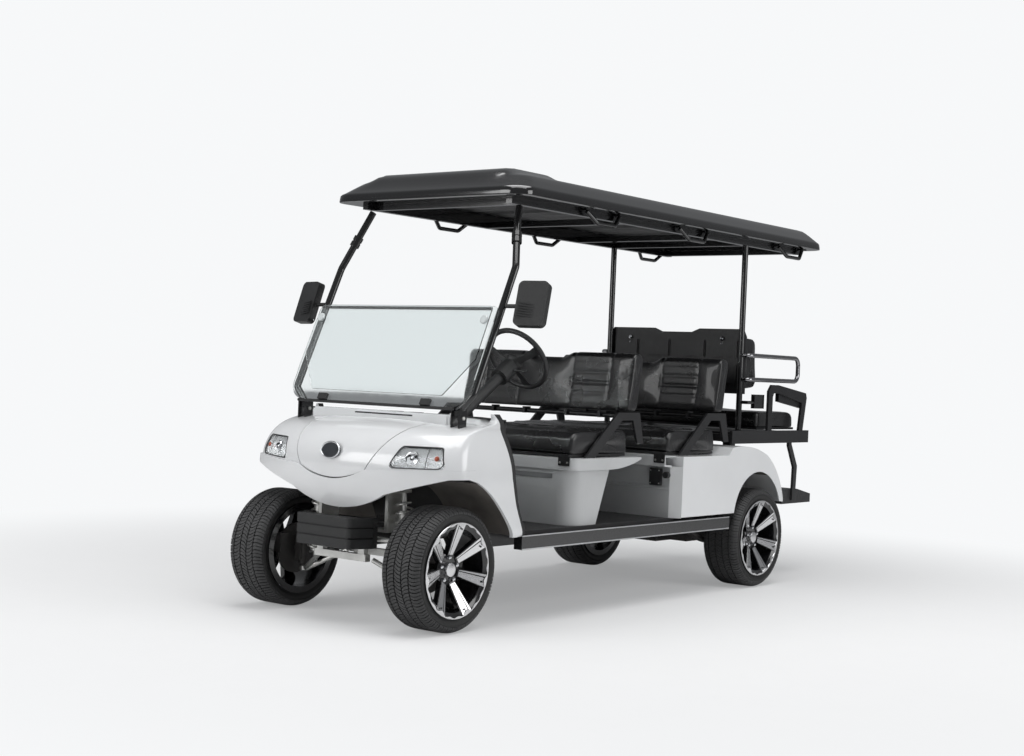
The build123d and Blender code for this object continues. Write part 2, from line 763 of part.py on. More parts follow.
with BuildPart() as rear_seat_frame:
    for x in (RAIL_SIDE + 8, -RAIL_SIDE - 8):
        with Locations(at(x, 2700, 790.5)):
            Box(16, 860, 69)
    for y in (2300, 2600, 2995):
        with Locations(at(0, y, 785)):
            Box(2 * RAIL_SIDE, 36, 40)
    with Locations(at(0, 2650, 812)):
        Box(2 * RAIL_SIDE, 740, 10)
    for x in (300, -300):
        with Locations(at(x, 2300, 575), at(x, 2600, 575)):
            Box(50, 50, 380)
rear_seat_frame.part.label = "rear_seat_frame"
export_step(rear_seat_frame.part, "parts/rear_seat_frame.step")

# Armrests: bent bands that stand on the side rails, with a deep pad along the top.
with BuildPart() as rear_armrests:
    for x in (RAIL_SIDE, -RAIL_SIDE - 14):
        with BuildSketch(side(x)):
            with BuildLine():
                Polyline((2652, 825), (2652, 1040), (2684, 1076), (2760, 1076), (3085, 1036), (3096, 1010),
                         (3060, 825), (3014, 825), (3040, 980), (2770, 1030), (2710, 1030), (2698, 1010),
                         (2698, 825), close=True)
            make_face()
        extrude(amount=14)
    for x in (472, -RAIL_SIDE):
        with BuildSketch(side(x)):
            with BuildLine():
                Polyline((2790, 985), (2790, 1070), (3075, 1036), (3075, 948), close=True)
            make_face()
        extrude(amount=22)
rear_armrests.part.label = "rear_armrests"
export_step(rear_armrests.part, "parts/rear_armrests.step")

loop_points = ((446.3, POST_Y, 1230), (485, POST_Y, 1230), (485, 3017, 1230), (485, 3017, 1100),
               (485, POST_Y, 1100), (446.3, POST_Y, 1100))
with BuildPart() as side_handrails:
    add(both_sides(bent_tube(loop_points, 12, (28, 42, 42, 28))))
side_handrails.part.label = "side_handrails"
export_step(side_handrails.part, "parts/side_handrails.step")

PLATFORM_HALF = 456.0
with BuildPart() as foot_platform:
    with BuildSketch(side(-PLATFORM_HALF)):
        with BuildLine():
            Polyline((2944, 405), (PLATFORM_REAR, 405), (PLATFORM_REAR, 454), (3120, 487), (2944, 487),
                     close=True)
        make_face()
    extrude(amount=2 * PLATFORM_HALF)
    with Locations(at(300, 2930, 385), at(-300, 2930, 385)):
        Box(50, 140, 40)
    for x in (PLATFORM_HALF, -PLATFORM_HALF - 14):
        with BuildSketch(side(x)):
            with BuildLine():
                Polyline((2975, 765), (3010, 765), (3010, 745), (3085, 620), (3075, 425), (3040, 425),
                         (3046, 612), (2975, 735), close=True)
            make_face()
        extrude(amount=14)
foot_platform.part.label = "foot_platform"
export_step(foot_platform.part, "parts/foot_platform.step")

# ---------------------------------------------------------------- roof and its posts
with BuildPart() as rear_posts:
    add(both_sides(bar((POST_X, POST_Y, 817), (POST_X, POST_Y, 1822), POST_RADIUS)))
    add(both_sides(bar((POST_X, POST_Y, 976), (478, POST_Y, 976), 9)))
    add(both_sides(bar((478, POST_Y - 6, 976), (478, 2535, 976), 9)))
    for x in (478, -478):
        with BuildSketch(side(x - 11)):
            with Locations((2582, 982)):
                Rectangle(106, 76)
        extrude(amount=22)
rear_posts.part.label = "rear_posts"
export_step(rear_posts.part, "parts/rear_posts.step")

STRUT_POINTS = ((456, 84, 912), (522, 92, 978), (522, 346, 1540), (470, 410, 1702), (438, 458.5, 1814))
with BuildPart() as front_struts:
    add(both_sides(bent_tube(STRUT_POINTS, POST_RADIUS, (30, 60, 60))))
    # Each strut's foot is clamped between two ears that stand on the cowl.
    for x in (456, -456):
        with Locations(at(x - 21, 84, 878), at(x + 21, 84, 878)):
            Box(8, 46, 96)
        with Locations(at(x, 84, 903)):
            Box(50, 30, 22)
    add(cowl_outer, mode=Mode.SUBTRACT)
front_struts.part.label = "front_struts"
export_step(front_struts.part, "parts/front_struts.step")

with BuildPart() as roof_frame:
    for x in (ROOF_INNER_X, -ROOF_INNER_X):
        with Locations(at(x, 1725, 1837)):
            Box(32, 2660, 30)
    for y in (462, 1300, 2100, POST_Y, 3000):
        with Locations(at(0, y, 1837)):
            Box(2 * ROOF_INNER_X, 30, 30)
roof_frame.part.label = "roof_frame"
export_step(roof_frame.part, "parts/roof_frame.step")

# Levels of the roof: height, half width, front, rear, corner radius.
ROOF_LEVELS = (
    (ROOF_BASE, ROOF_HALF, ROOF_FRONT, ROOF_REAR, 80),
    (1884, 562, 314, 3122, 78),
    (1948, 488, 396, 3080, 70),
    (1968, 400, 480, 2990, 60),
)
DOME_LEVELS = ((1930, 420, 372, 790, 60), (1972, 395, 430, 740, 60), (1990, 330, 490, 690, 50))


def stack(levels, inset):
    """A form lofted straight through rounded rectangles, or the same form inset by a wall."""
    with BuildPart() as form:
        for z, half, first, last, corner in levels:
            drop = inset if z > ROOF_BASE else 0
            with BuildSketch(level(z - drop)):
                with Locations((0, (first + last) / 2)):
                    RectangleRounded(2 * (half - inset), last - first - 2 * inset, corner)
        loft(ruled=True)
    return form.part


with BuildPart() as roof_canopy:
    add(stack(ROOF_LEVELS, 0))
    add(stack(DOME_LEVELS, 0))
    add(stack(ROOF_LEVELS, WALL), mode=Mode.SUBTRACT)
    with BuildSketch(level(1852)):
        with Locations((0, (ROOF_FRONT + ROOF_REAR) / 2)):
            RectangleRounded(2 * ROOF_HALF - 8, ROOF_REAR - ROOF_FRONT - 8, 76)
            RectangleRounded(850, 2522, 20, mode=Mode.SUBTRACT)
    extrude(amount=WALL)
roof_canopy.part.label = "roof_canopy"
export_step(roof_canopy.part, "parts/roof_canopy.step")

with BuildPart() as grab_handles:
    for y in (1064, 1870, 2905):
        points = ((466, y - 134, 1843), (484, y - 72, 1794), (484, y + 72, 1794), (466, y + 134, 1843))
        add(both_sides(bent_tube(points, 10, 24)))
        with Locations(at(466, y - 136, 1849), at(466, y + 136, 1849), at(-466, y - 136, 1849),
                       at(-466, y + 136, 1849)):
            Box(32, 46, 6)
grab_handles.part.label = "grab_handles"
export_step(grab_handles.part, "parts/grab_handles.step")

# ---------------------------------------------------------------- windscreen and mirrors
SCREEN_HALF = 530.0
SCREEN_LEAN = 24.0
SCREEN_TOP = 478.0
screen_out = Vector(0, -cos(radians(SCREEN_LEAN)), sin(radians(SCREEN_LEAN)))
SCREEN_FOOT = (0, 46, 925)


def screen_plane(out):
    """The windscreen's leaning plane, moved out of the cart by a distance; local y runs up it."""
    foot = Vector(at(*SCREEN_FOOT)) + screen_out * out
    return Plane(origin=foot, x_dir=(1, 0, 0), z_dir=tuple(screen_out))


screen_axis = Axis((0, 0, 0), tuple(screen_out))

with BuildPart() as windscreen_lower:
    with BuildSketch(screen_plane(0)):
        with Locations((0, 2 + (SCREEN_TOP - 2) / 2)):
            Rectangle(2 * SCREEN_HALF, SCREEN_TOP - 2)
    extrude(amount=5)
    corners = windscreen_lower.edges().filter_by(screen_axis).sort_by(Axis.Z)
    fillet(corners[:2], radius=90)
    fillet(corners[2:], radius=30)
windscreen_lower.part.label = "windscreen_lower"
export_step(windscreen_lower.part, "parts/windscreen_lower.step")

# The upper pane hangs folded down in front of the lower one, its narrow top edge below.
with BuildPart() as windscreen_upper:
    with BuildSketch(screen_plane(14)):
        with BuildLine():
            Polyline((-388, 48), (388, 48), (506, 222), (506, SCREEN_TOP - 6), (-506, SCREEN_TOP - 6),
                     (-506, 222), close=True)
        pane = make_face()
        fillet(pane.vertices(), radius=14)
    extrude(amount=5)
windscreen_upper.part.label = "windscreen_upper"
export_step(windscreen_upper.part, "parts/windscreen_upper.step")

with BuildPart() as windscreen_clips:
    for x in (-305, 305):
        with BuildSketch(screen_plane(5.3)):
            with Locations((x, 16)):
                Rectangle(52, 28)
        extrude(amount=14)
    with BuildSketch(screen_plane(6)):
        with Locations((0, SCREEN_TOP - 16)):
            Rectangle(2 * 495, 12)
    extrude(amount=7)
windscreen_clips.part.label = "windscreen_clips"
export_step(windscreen_clips.part, "parts/windscreen_clips.step")

MIRROR = (667.0, 285.0, 1375.0)
MIRROR_TURN = 20.0
mirror_plane = Plane(
    origin=at(*MIRROR),
    x_dir=(cos(radians(MIRROR_TURN)), sin(radians(MIRROR_TURN)), 0),
    z_dir=(sin(radians(MIRROR_TURN)), -cos(radians(MIRROR_TURN)), 0.3),
).rotated((0, 0, -7))
with BuildPart() as mirrors:
    with BuildSketch(mirror_plane.offset(-18)):
        RectangleRounded(140, 200, 24)
    extrude(amount=36)
    add(bar((538.4, 269, 1366), (610, 276, 1366), 9))
    mirror(about=Plane.YZ)
mirrors.part.label = "mirrors"
export_step(mirrors.part, "parts/mirrors.step")
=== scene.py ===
"""A six-seat electric golf cart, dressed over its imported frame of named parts."""

from math import cos, pi, radians, sin

import bpy
import bmesh
from mathutils import Matrix, Vector


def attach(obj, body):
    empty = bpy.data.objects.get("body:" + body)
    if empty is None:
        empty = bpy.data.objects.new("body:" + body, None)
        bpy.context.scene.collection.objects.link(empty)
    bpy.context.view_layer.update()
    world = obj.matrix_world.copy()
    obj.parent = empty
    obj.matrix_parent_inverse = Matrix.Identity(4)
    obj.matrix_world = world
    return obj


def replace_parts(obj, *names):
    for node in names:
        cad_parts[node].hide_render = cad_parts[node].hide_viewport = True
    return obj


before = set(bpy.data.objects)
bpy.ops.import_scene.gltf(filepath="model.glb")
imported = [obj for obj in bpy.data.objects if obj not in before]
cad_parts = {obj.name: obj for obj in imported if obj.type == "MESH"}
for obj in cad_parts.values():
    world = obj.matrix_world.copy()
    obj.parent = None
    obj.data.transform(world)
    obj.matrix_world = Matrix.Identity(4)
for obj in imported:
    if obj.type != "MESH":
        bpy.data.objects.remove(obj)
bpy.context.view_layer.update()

# ---------------------------------------------------------------- chassis
# The ladder frame, its cross members and the seats' side frames are welded steel tube and
# plate, dipped in satin black paint. The battery under the front seat is a sealed case.


def finish(name, colour, roughness, metallic=0.0, coat=0.0, grain=260.0, depth=0.0003, mottle=0.12):
    """A finish whose colour and sheen drift a little from place to place over a fine raised grain."""
    material = bpy.data.materials.new(name)
    material.use_nodes = True
    nodes, links = material.node_tree.nodes, material.node_tree.links
    shader = nodes["Principled BSDF"]
    shader.inputs["Metallic"].default_value = metallic
    shader.inputs["Coat Weight"].default_value = coat
    shader.inputs["Coat Roughness"].default_value = 0.05
    place = nodes.new("ShaderNodeTexCoord")
    drift = nodes.new("ShaderNodeTexNoise")
    drift.inputs["Scale"].default_value = 6.0
    drift.inputs["Detail"].default_value = 7.0
    shades = nodes.new("ShaderNodeValToRGB")
    shades.color_ramp.elements[0].position = 0.3
    shades.color_ramp.elements[1].position = 0.7
    for stop, share in zip(shades.color_ramp.elements, (1 - mottle, 1 + mottle)):
        stop.color = [min(part * share, 1.0) for part in colour] + [1.0]
    sheen = nodes.new("ShaderNodeMapRange")
    sheen.inputs["To Min"].default_value = roughness * 0.85
    sheen.inputs["To Max"].default_value = min(roughness * 1.2, 1.0)
    fine = nodes.new("ShaderNodeTexNoise")
    fine.inputs["Scale"].default_value = grain
    fine.inputs["Detail"].default_value = 4.0
    raised = nodes.new("ShaderNodeBump")
    raised.inputs["Distance"].default_value = depth
    links.new(place.outputs["Object"], drift.inputs["Vector"])
    links.new(place.outputs["Object"], fine.inputs["Vector"])
    links.new(drift.outputs["Fac"], shades.inputs["Fac"])
    links.new(drift.outputs["Fac"], sheen.inputs["Value"])
    links.new(shades.outputs["Color"], shader.inputs["Base Color"])
    links.new(sheen.outputs["Result"], shader.inputs["Roughness"])
    links.new(fine.outputs["Fac"], raised.inputs["Height"])
    links.new(raised.outputs["Normal"], shader.inputs["Normal"])
    return material


def dress(material, *names):
    """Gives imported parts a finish."""
    for name in names:
        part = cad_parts[name]
        part.data.materials.clear()
        part.data.materials.append(material)


FRONT_AXLE_Y = -1.513
REAR_AXLE_Y = 0.911


def car(x, y, z):
    """A point whose second distance is measured back from the front axle, all in metres."""
    return Vector((x, y + FRONT_AXLE_Y, z))


black_paint = finish("black_paint", (0.010, 0.010, 0.011), 0.42, coat=0.25, grain=180, depth=0.0004)
battery_shell = finish("battery_shell", (0.05, 0.052, 0.055), 0.55, grain=400)
dress(black_paint, "frame_rails", "frame_crossmembers", "seat_side_frames", "rear_seat_frame",
      "front_seat_board", "middle_seat_board", "rear_seat_deck")
dress(battery_shell, "battery_pack")

# ---------------------------------------------------------------- front suspension and steering link
# A bright zinc-plated subframe with control arms and rods, and a coil spring of drawn wire
# round each shock absorber. Knuckles are cast iron, machined where the bearings sit.
zinc = finish("zinc_plate", (0.62, 0.62, 0.60), 0.34, metallic=0.9, grain=320, depth=0.0002, mottle=0.2)
iron = finish("cast_iron", (0.075, 0.072, 0.07), 0.6, metallic=0.5, grain=150, depth=0.001, mottle=0.3)
dress(zinc, "front_suspension", "front_subframe", "steering_link")
dress(iron, "knuckle_left", "knuckle_right", "rear_axle")


def tube(name, points, radius, body, material, closed=False, order=3):
    """A round rod or wire along smooth points, at rest on a body."""
    data = bpy.data.curves.new(name, "CURVE")
    data.dimensions = "3D"
    data.bevel_depth = radius
    data.bevel_resolution = 4
    data.use_fill_caps = True
    line = data.splines.new("NURBS")
    line.points.add(len(points) - 1)
    for point, place in zip(line.points, points):
        point.co = (*place, 1.0)
    line.order_u = order
    line.use_cyclic_u = closed
    line.use_endpoint_u = not closed
    line.resolution_u = 6
    piece = bpy.data.objects.new(name, data)
    bpy.context.collection.objects.link(piece)
    data.materials.append(material)
    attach(piece, body)
    return piece


SHOCK_FOOT = (0.270, 0.250)
SHOCK_TOP = (0.2475, 0.520)
COIL_TURNS, COIL_RADIUS, WIRE_RADIUS, STEPS_A_TURN = 7, 0.036, 0.0052, 12
for hand, label in ((1, "left"), (-1, "right")):
    coil = []
    for k in range(COIL_TURNS * STEPS_A_TURN + 1):
        share = k / (COIL_TURNS * STEPS_A_TURN)
        x = SHOCK_FOOT[0] + (SHOCK_TOP[0] - SHOCK_FOOT[0]) * share
        z = SHOCK_FOOT[1] + (SHOCK_TOP[1] - SHOCK_FOOT[1]) * share
        turn = 2 * pi * k / STEPS_A_TURN
        coil.append(car(hand * (x + COIL_RADIUS * cos(turn)), COIL_RADIUS * sin(turn), z))
    tube(f"coil_spring_{label}", coil, WIRE_RADIUS, "cart", zinc)

# ---------------------------------------------------------------- tyres
# Moulded rubber road tyres: a smooth black sidewall with two raised rings, and five tread
# ribs cut into slanted, bent blocks that stand 8 mm above the grooves and are coloured paler.
TYRE_TOP = 0.260
TREAD_DEPTH = 0.008
TREAD_PITCHES = 52
FLAT_HALF_WIDTH, SHOULDER_WIDTH, SHOULDER_DROP = 0.055, 0.046, 0.0205
SIDEWALL = (
    (0.0905, 0.1870), (0.0918, 0.1910), (0.0925, 0.1970), (0.0938, 0.1985), (0.0942, 0.2015), (0.0938, 0.2030),
    (0.0990, 0.2120), (0.1028, 0.2210), (0.1030, 0.2255), (0.1034, 0.2270), (0.1027, 0.2290), (0.1012, 0.2320),
)
# Ribs of the tread: inner and outer distance from the middle, slant, start in the pitch.
TREAD_RIBS = (
    (-0.1000, -0.0620, 0.10, 0.10), (-0.0560, -0.0220, -0.50, 0.45), (-0.0160, 0.0160, 0.50, 0.00),
    (0.0220, 0.0560, -0.50, 0.70), (0.0620, 0.1000, 0.10, 0.30),
)


def crown(x):
    """The tread's radius at a distance from the tyre's middle: flat, then falling to the shoulder."""
    past = max(abs(x) - FLAT_HALF_WIDTH, 0.0) / SHOULDER_WIDTH
    return TYRE_TOP - SHOULDER_DROP * past**3.4


def skin(rings, size, round_ring=True, back_to_first=False):
    """Faces from each ring of points to the next, round each ring and back to the first where told."""
    faces = []
    for k in range(rings if back_to_first else rings - 1):
        a, b = k * size, (k + 1) % rings * size
        for i in range(size if round_ring else size - 1):
            after = (i + 1) % size
            faces.append((a + i, a + after, b + after, b + i))
    return faces


def turned(outline, steps):
    """Points and faces of an outline of (x, radius) pairs turned about the X axis."""
    points = []
    for k in range(steps):
        angle = 2 * pi * k / steps
        points += [(x, r * cos(angle), r * sin(angle)) for x, r in outline]
    return points, skin(steps, len(outline), round_ring=False, back_to_first=True)


def tread_block(low, high, slant, start, end, across=4):
    """One block of the tread: a slanted patch of the crown with walls down to the groove."""
    points, faces = [], []
    for drop in (0.0, TREAD_DEPTH):
        for turn in (start, end):
            for i in range(across):
                share = i / (across - 1)
                x = low + (high - low) * share
                bend = 0.16 * sin(pi * share) * (1 if slant > 0 else -1)
                angle = 2 * pi * (turn + slant * (share - 0.5) + bend) / TREAD_PITCHES
                r = crown(x) - drop
                points.append((x, r * cos(angle), r * sin(angle)))
    for i in range(across - 1):
        faces.append((i, i + 1, across + i + 1, across + i))
        faces.append((i, 2 * across + i, 2 * across + i + 1, i + 1))
        faces.append((across + i, across + i + 1, 3 * across + i + 1, 3 * across + i))
    for a in (0, across - 1):
        faces.append((a, across + a, 3 * across + a, 2 * across + a))
    return points, faces


def joined(name, chunks, sharp=35):
    """One mesh from chunks of points, faces and a finish's number, with its sharp edges marked."""
    points, faces, marks = [], [], []
    for chunk_points, chunk_faces, mark in chunks:
        start = len(points)
        points += chunk_points
        faces += [tuple(start + i for i in face) for face in chunk_faces]
        marks += [mark] * len(chunk_faces)
    mesh = bpy.data.meshes.new(name)
    mesh.from_pydata(points, [], faces)
    mesh.polygons.foreach_set("material_index", marks)
    bm = bmesh.new()
    bm.from_mesh(mesh)
    bmesh.ops.recalc_face_normals(bm, faces=bm.faces)
    bm.to_mesh(mesh)
    bm.free()
    mesh.shade_smooth()
    mesh.set_sharp_from_angle(angle=radians(sharp))
    return mesh


def shown(name, mesh, body, materials, place=None):
    """Puts a finished mesh in its place on a body."""
    piece = bpy.data.objects.new(name, mesh)
    bpy.context.collection.objects.link(piece)
    if not mesh.materials:
        for material in materials:
            mesh.materials.append(material)
    if place is not None:
        piece.matrix_world = place
    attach(piece, body)
    return piece


half_outline = list(SIDEWALL)
half_outline += [(x, crown(x) - TREAD_DEPTH) for x in (0.099, 0.092, 0.083, 0.072, 0.058, 0.03)]
tyre_outline = half_outline + [(0.0, TYRE_TOP - TREAD_DEPTH)] + [(-x, r) for x, r in reversed(half_outline)]
tyre_chunks = [(*turned(tyre_outline, 120), 0)]
for low, high, slant, lag in TREAD_RIBS:
    for pitch in range(TREAD_PITCHES):
        for start, end in ((0.05, 0.45), (0.54, 0.90)):
            block = tread_block(low, high, slant, pitch + lag + start, pitch + lag + end)
            tyre_chunks.append((*block, 1))
tyre_mesh = joined("tyre", tyre_chunks, 40)
tyre_rubber = finish("tyre_rubber", (0.009, 0.009, 0.009), 0.55, grain=500, depth=0.0004, mottle=0.25)
paler_blocks = finish("paler_tread_blocks", (0.050, 0.050, 0.051), 0.62, grain=420, depth=0.0006, mottle=0.3)
WHEEL_PLACES = {}
for label, x, y in (
    ("front_left", 0.457, FRONT_AXLE_Y), ("front_right", -0.457, FRONT_AXLE_Y),
    ("rear_left", 0.513, REAR_AXLE_Y), ("rear_right", -0.513, REAR_AXLE_Y),
):
    facing = Matrix.Rotation(0 if x > 0 else pi, 4, "Z")
    WHEEL_PLACES[label] = Matrix.Translation((x, y, TYRE_TOP)) @ facing
for label, place in WHEEL_PLACES.items():
    tyre_looks = [tyre_rubber, paler_blocks]
    tyre = shown(f"tyre_tread_{label}", tyre_mesh, f"wheel_{label}", tyre_looks, place)
    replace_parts(tyre, f"tyre_{label}")

# ---------------------------------------------------------------- alloy wheels
# Cast alloy wheels of fourteen inches, painted gloss black; the lip and the seven spoke
# faces are then machined bright, leaving a black line along each spoke. Nuts are chromed.
BARREL_OUTLINE = (
    (-0.101, 0.172), (-0.101, 0.200), (-0.0925, 0.200), (-0.0925, 0.1866), (0.0925, 0.1866), (0.0925, 0.200),
    (0.1000, 0.200), (0.1010, 0.1985), (0.1010, 0.1930), (0.0965, 0.1880), (0.0930, 0.1790), (0.0900, 0.1740),
    (0.0700, 0.1720), (-0.101, 0.172),
)
HUB_OUTLINE = (
    (0.0240, 0.0185), (0.0240, 0.0620), (0.0380, 0.0700), (0.0455, 0.0690), (0.0480, 0.0640), (0.0455, 0.0600),
    (0.0440, 0.0400), (0.0440, 0.0185),
)
CAP_OUTLINE = ((0.0440, 0.0300), (0.0600, 0.0300), (0.0640, 0.0280), (0.0655, 0.0200), (0.0660, 0.0))
SPOKE_TURNS = [radians(86 + 360 * k / 7) for k in range(7)]
NUT_CIRCLE, NUT_SEAT = 0.0508, 0.0435


def strip(turn, inner, outer, rises, thick):
    """A flat bar from the hub to the lip: its edges at the inner and outer radius, its heights."""
    points, faces = [], []
    steps = 6
    for k in range(steps + 1):
        share = k / steps
        r = inner[0] + (outer[0] - inner[0]) * share
        left = inner[1] + (outer[1] - inner[1]) * share
        right = inner[2] + (outer[2] - inner[2]) * share
        x = rises[0] + (rises[1] - rises[0]) * share
        for side_way in (left, right):
            for depth in (0.0, thick):
                y = r * cos(turn) - side_way * sin(turn)
                z = r * sin(turn) + side_way * cos(turn)
                points.append((x - depth, y, z))
    for k in range(steps):
        a, b = 4 * k, 4 * k + 4
        faces += [(a, a + 2, b + 2, b), (a + 1, b + 1, b + 3, a + 3)]
        faces += [(a, b, b + 1, a + 1), (a + 2, a + 3, b + 3, b + 2)]
    faces += [(0, 1, 3, 2), (4 * steps, 4 * steps + 2, 4 * steps + 3, 4 * steps + 1)]
    return points, faces


def moved(chunk, matrix):
    """The same points and faces, carried by a matrix."""
    points, faces = chunk
    return [tuple(matrix @ Vector(point)) for point in points], faces


def patterned(material, texture, scale, height, output="Fac", over=None, **choices):
    """Raises a finish in a pattern, over another pattern where one is given."""
    nodes, links = material.node_tree.nodes, material.node_tree.links
    pattern = nodes.new(texture)
    for choice, value in choices.items():
        setattr(pattern, choice, value)
    pattern.inputs["Scale"].default_value = scale
    raised = nodes.new("ShaderNodeBump")
    raised.inputs["Distance"].default_value = height
    place = next(node for node in nodes if node.type == "TEX_COORD")
    links.new(place.outputs["Object"], pattern.inputs["Vector"])
    links.new(pattern.outputs[output], raised.inputs["Height"])
    if over is not None:
        links.new(over.outputs["Normal"], raised.inputs["Normal"])
    links.new(raised.outputs["Normal"], nodes["Principled BSDF"].inputs["Normal"])
    return pattern, raised


rim_chunks = [(*turned(BARREL_OUTLINE, 112), 0), (*turned(HUB_OUTLINE, 56), 0), (*turned(CAP_OUTLINE, 40), 1)]
lip_points = []
LIP_STEPS, LIP_INNER, SPOKE_FLARE, NOTCH = 168, 0.1905, 0.0090, 0.0030
for k in range(LIP_STEPS):
    turn = 2 * pi * k / LIP_STEPS
    wave = cos(7 * (turn - SPOKE_TURNS[0]))
    inner = LIP_INNER - SPOKE_FLARE * max(wave, 0.0) ** 3 - NOTCH * cos(21 * (turn - SPOKE_TURNS[0]))
    for x, r in ((0.1005, 0.1998), (0.1022, 0.1985), (0.1022, inner + 0.0012), (0.0985, inner)):
        lip_points.append((x, r * cos(turn), r * sin(turn)))
rim_chunks.append((lip_points, skin(LIP_STEPS, 4, round_ring=False, back_to_first=True), 1))
# Each spoke is a black bar under two bright faces: edges at hub and lip, heights, thickness, finish.
SPOKE_BARS = (
    ((0.056, -0.0165, 0.0165), (0.1880, -0.0305, 0.0305), (0.0515, 0.0965), 0.026, 0),
    ((0.062, -0.0135, 0.0065), (0.1900, -0.0265, 0.0110), (0.0545, 0.1005), 0.003, 1),
    ((0.062, 0.0095, 0.0135), (0.1900, 0.0165, 0.0265), (0.0545, 0.1005), 0.003, 1),
)
SPOKE_BOLT = (0.0975, 0.1720, -0.008)
for turn in SPOKE_TURNS:
    for at_hub, at_lip, rises, thick, mark in SPOKE_BARS:
        rim_chunks.append((*strip(turn, at_hub, at_lip, rises, thick), mark))
    bolt = turned(((0.0, 0.0), (0.0020, 0.0), (0.0020, 0.0040), (0.0, 0.0044)), 12)
    tilt = Matrix.Rotation(-0.34, 4, "Z")
    seat = Matrix.Rotation(turn, 4, "X") @ Matrix.Translation(SPOKE_BOLT) @ tilt
    rim_chunks.append((*moved(bolt, seat), 0))
nut_outline = ((0.0, 0.0), (0.0170, 0.0), (0.0165, 0.0050), (0.0130, 0.0090), (0.0, 0.0105))
for k in range(5):
    turn = radians(18 + 72 * k)
    seat = Matrix.Translation((NUT_SEAT, NUT_CIRCLE * cos(turn), NUT_CIRCLE * sin(turn)))
    rim_chunks.append((*moved(turned(nut_outline, 6), seat), 2))
rim_mesh = joined("alloy_wheel", rim_chunks, 30)
wheel_black = finish("wheel_black", (0.008, 0.008, 0.009), 0.16, coat=0.6, grain=120, depth=0.0001)
machined = finish("machined_alloy", (0.74, 0.74, 0.75), 0.22, metallic=1.0, grain=600, depth=0.0, mottle=0.03)
chrome = finish("chrome", (0.72, 0.73, 0.75), 0.09, metallic=1.0, grain=90, depth=0.00005, mottle=0.04)
patterned(machined, "ShaderNodeTexWave", 260.0, 0.00002, wave_type="RINGS", rings_direction="X")
for label, place in WHEEL_PLACES.items():
    rim_looks = [wheel_black, machined, chrome]
    rim = shown(f"alloy_wheel_{label}", rim_mesh, f"wheel_{label}", rim_looks, place)
    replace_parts(rim, f"rim_{label}")

# ---------------------------------------------------------------- cowl and rear body
# The cowl, hood and rear body are injection-moulded white panels with a deep clear coat.
# Black rubber edging closes the cowl at the door openings; liners are grey-brown moulded felt.
body_white = finish("body_white", (0.80, 0.81, 0.82), 0.22, coat=0.7, grain=45, depth=0.00006, mottle=0.015)
edging = finish("rubber_edging", (0.012, 0.012, 0.013), 0.5, grain=350)
liner = finish("arch_liner", (0.115, 0.105, 0.095), 0.85, grain=140, depth=0.0012, mottle=0.35)
dress(body_white, "front_cowl", "hood_panel", "rear_body")
dress(edging, "cowl_trim")
dress(liner, "wheel_wells")

# ---------------------------------------------------------------- headlights and tail lights
# Each headlight is a clear wrap-round lens bonded into the cowl over a bright fluted
# reflector, with a round bulb bowl and, outboard of a thin divider, a small amber bulb.
lens = bpy.data.materials.new("clear_lens")
lens.use_nodes = True
lens_nodes, lens_links = lens.node_tree.nodes, lens.node_tree.links
lens_shader = lens_nodes["Principled BSDF"]
lens_shader.inputs["Base Color"].default_value = (0.96, 0.97, 0.97, 1)
lens_shader.inputs["Transmission Weight"].default_value = 1.0
lens_shader.inputs["IOR"].default_value = 1.49
lens_haze = lens_nodes.new("ShaderNodeTexNoise")
lens_haze.inputs["Scale"].default_value = 24.0
lens_range = lens_nodes.new("ShaderNodeMapRange")
lens_range.inputs["To Min"].default_value = 0.01
lens_range.inputs["To Max"].default_value = 0.05
lens_place = lens_nodes.new("ShaderNodeTexCoord")
lens_links.new(lens_place.outputs["Object"], lens_haze.inputs["Vector"])
lens_links.new(lens_haze.outputs["Fac"], lens_range.inputs["Value"])
lens_links.new(lens_range.outputs["Result"], lens_shader.inputs["Roughness"])
# Lamps shine through it, so the parts behind aren't left in the dark.
shadow_ray = lens_nodes.new("ShaderNodeLightPath")
passes = lens_nodes.new("ShaderNodeBsdfTransparent")
either = lens_nodes.new("ShaderNodeMixShader")
lens_out = next(n for n in lens_nodes if n.type == "OUTPUT_MATERIAL")
lens_links.new(shadow_ray.outputs["Is Shadow Ray"], either.inputs["Fac"])
lens_links.new(lens_shader.outputs["BSDF"], either.inputs[1])
lens_links.new(passes.outputs["BSDF"], either.inputs[2])
lens_links.new(either.outputs["Shader"], lens_out.inputs["Surface"])
dress(lens, "headlights")

reflector = finish("reflector", (0.50, 0.51, 0.52), 0.2, metallic=1.0, grain=60, depth=0.0001)
amber = finish("amber_bulb", (0.36, 0.06, 0.02), 0.3, coat=0.5, grain=220, depth=0.0004)
tail_red = finish("tail_red", (0.42, 0.012, 0.012), 0.2, coat=0.8, grain=200, depth=0.0006)
dress(tail_red, "tail_lights")

lamp_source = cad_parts["headlights"].data
backing_mesh = lamp_source.copy()
backing_mesh.name = "headlight_backing"
for vertex in backing_mesh.vertices:
    vertex.co.y += 0.010
    vertex.co.x *= 0.985
backing_mesh.materials.clear()
backing_mesh.materials.append(reflector)
shown("headlight_backing", backing_mesh, "cart", [])
patterned(reflector, "ShaderNodeTexWave", 55.0, 0.0015, bands_direction="X")
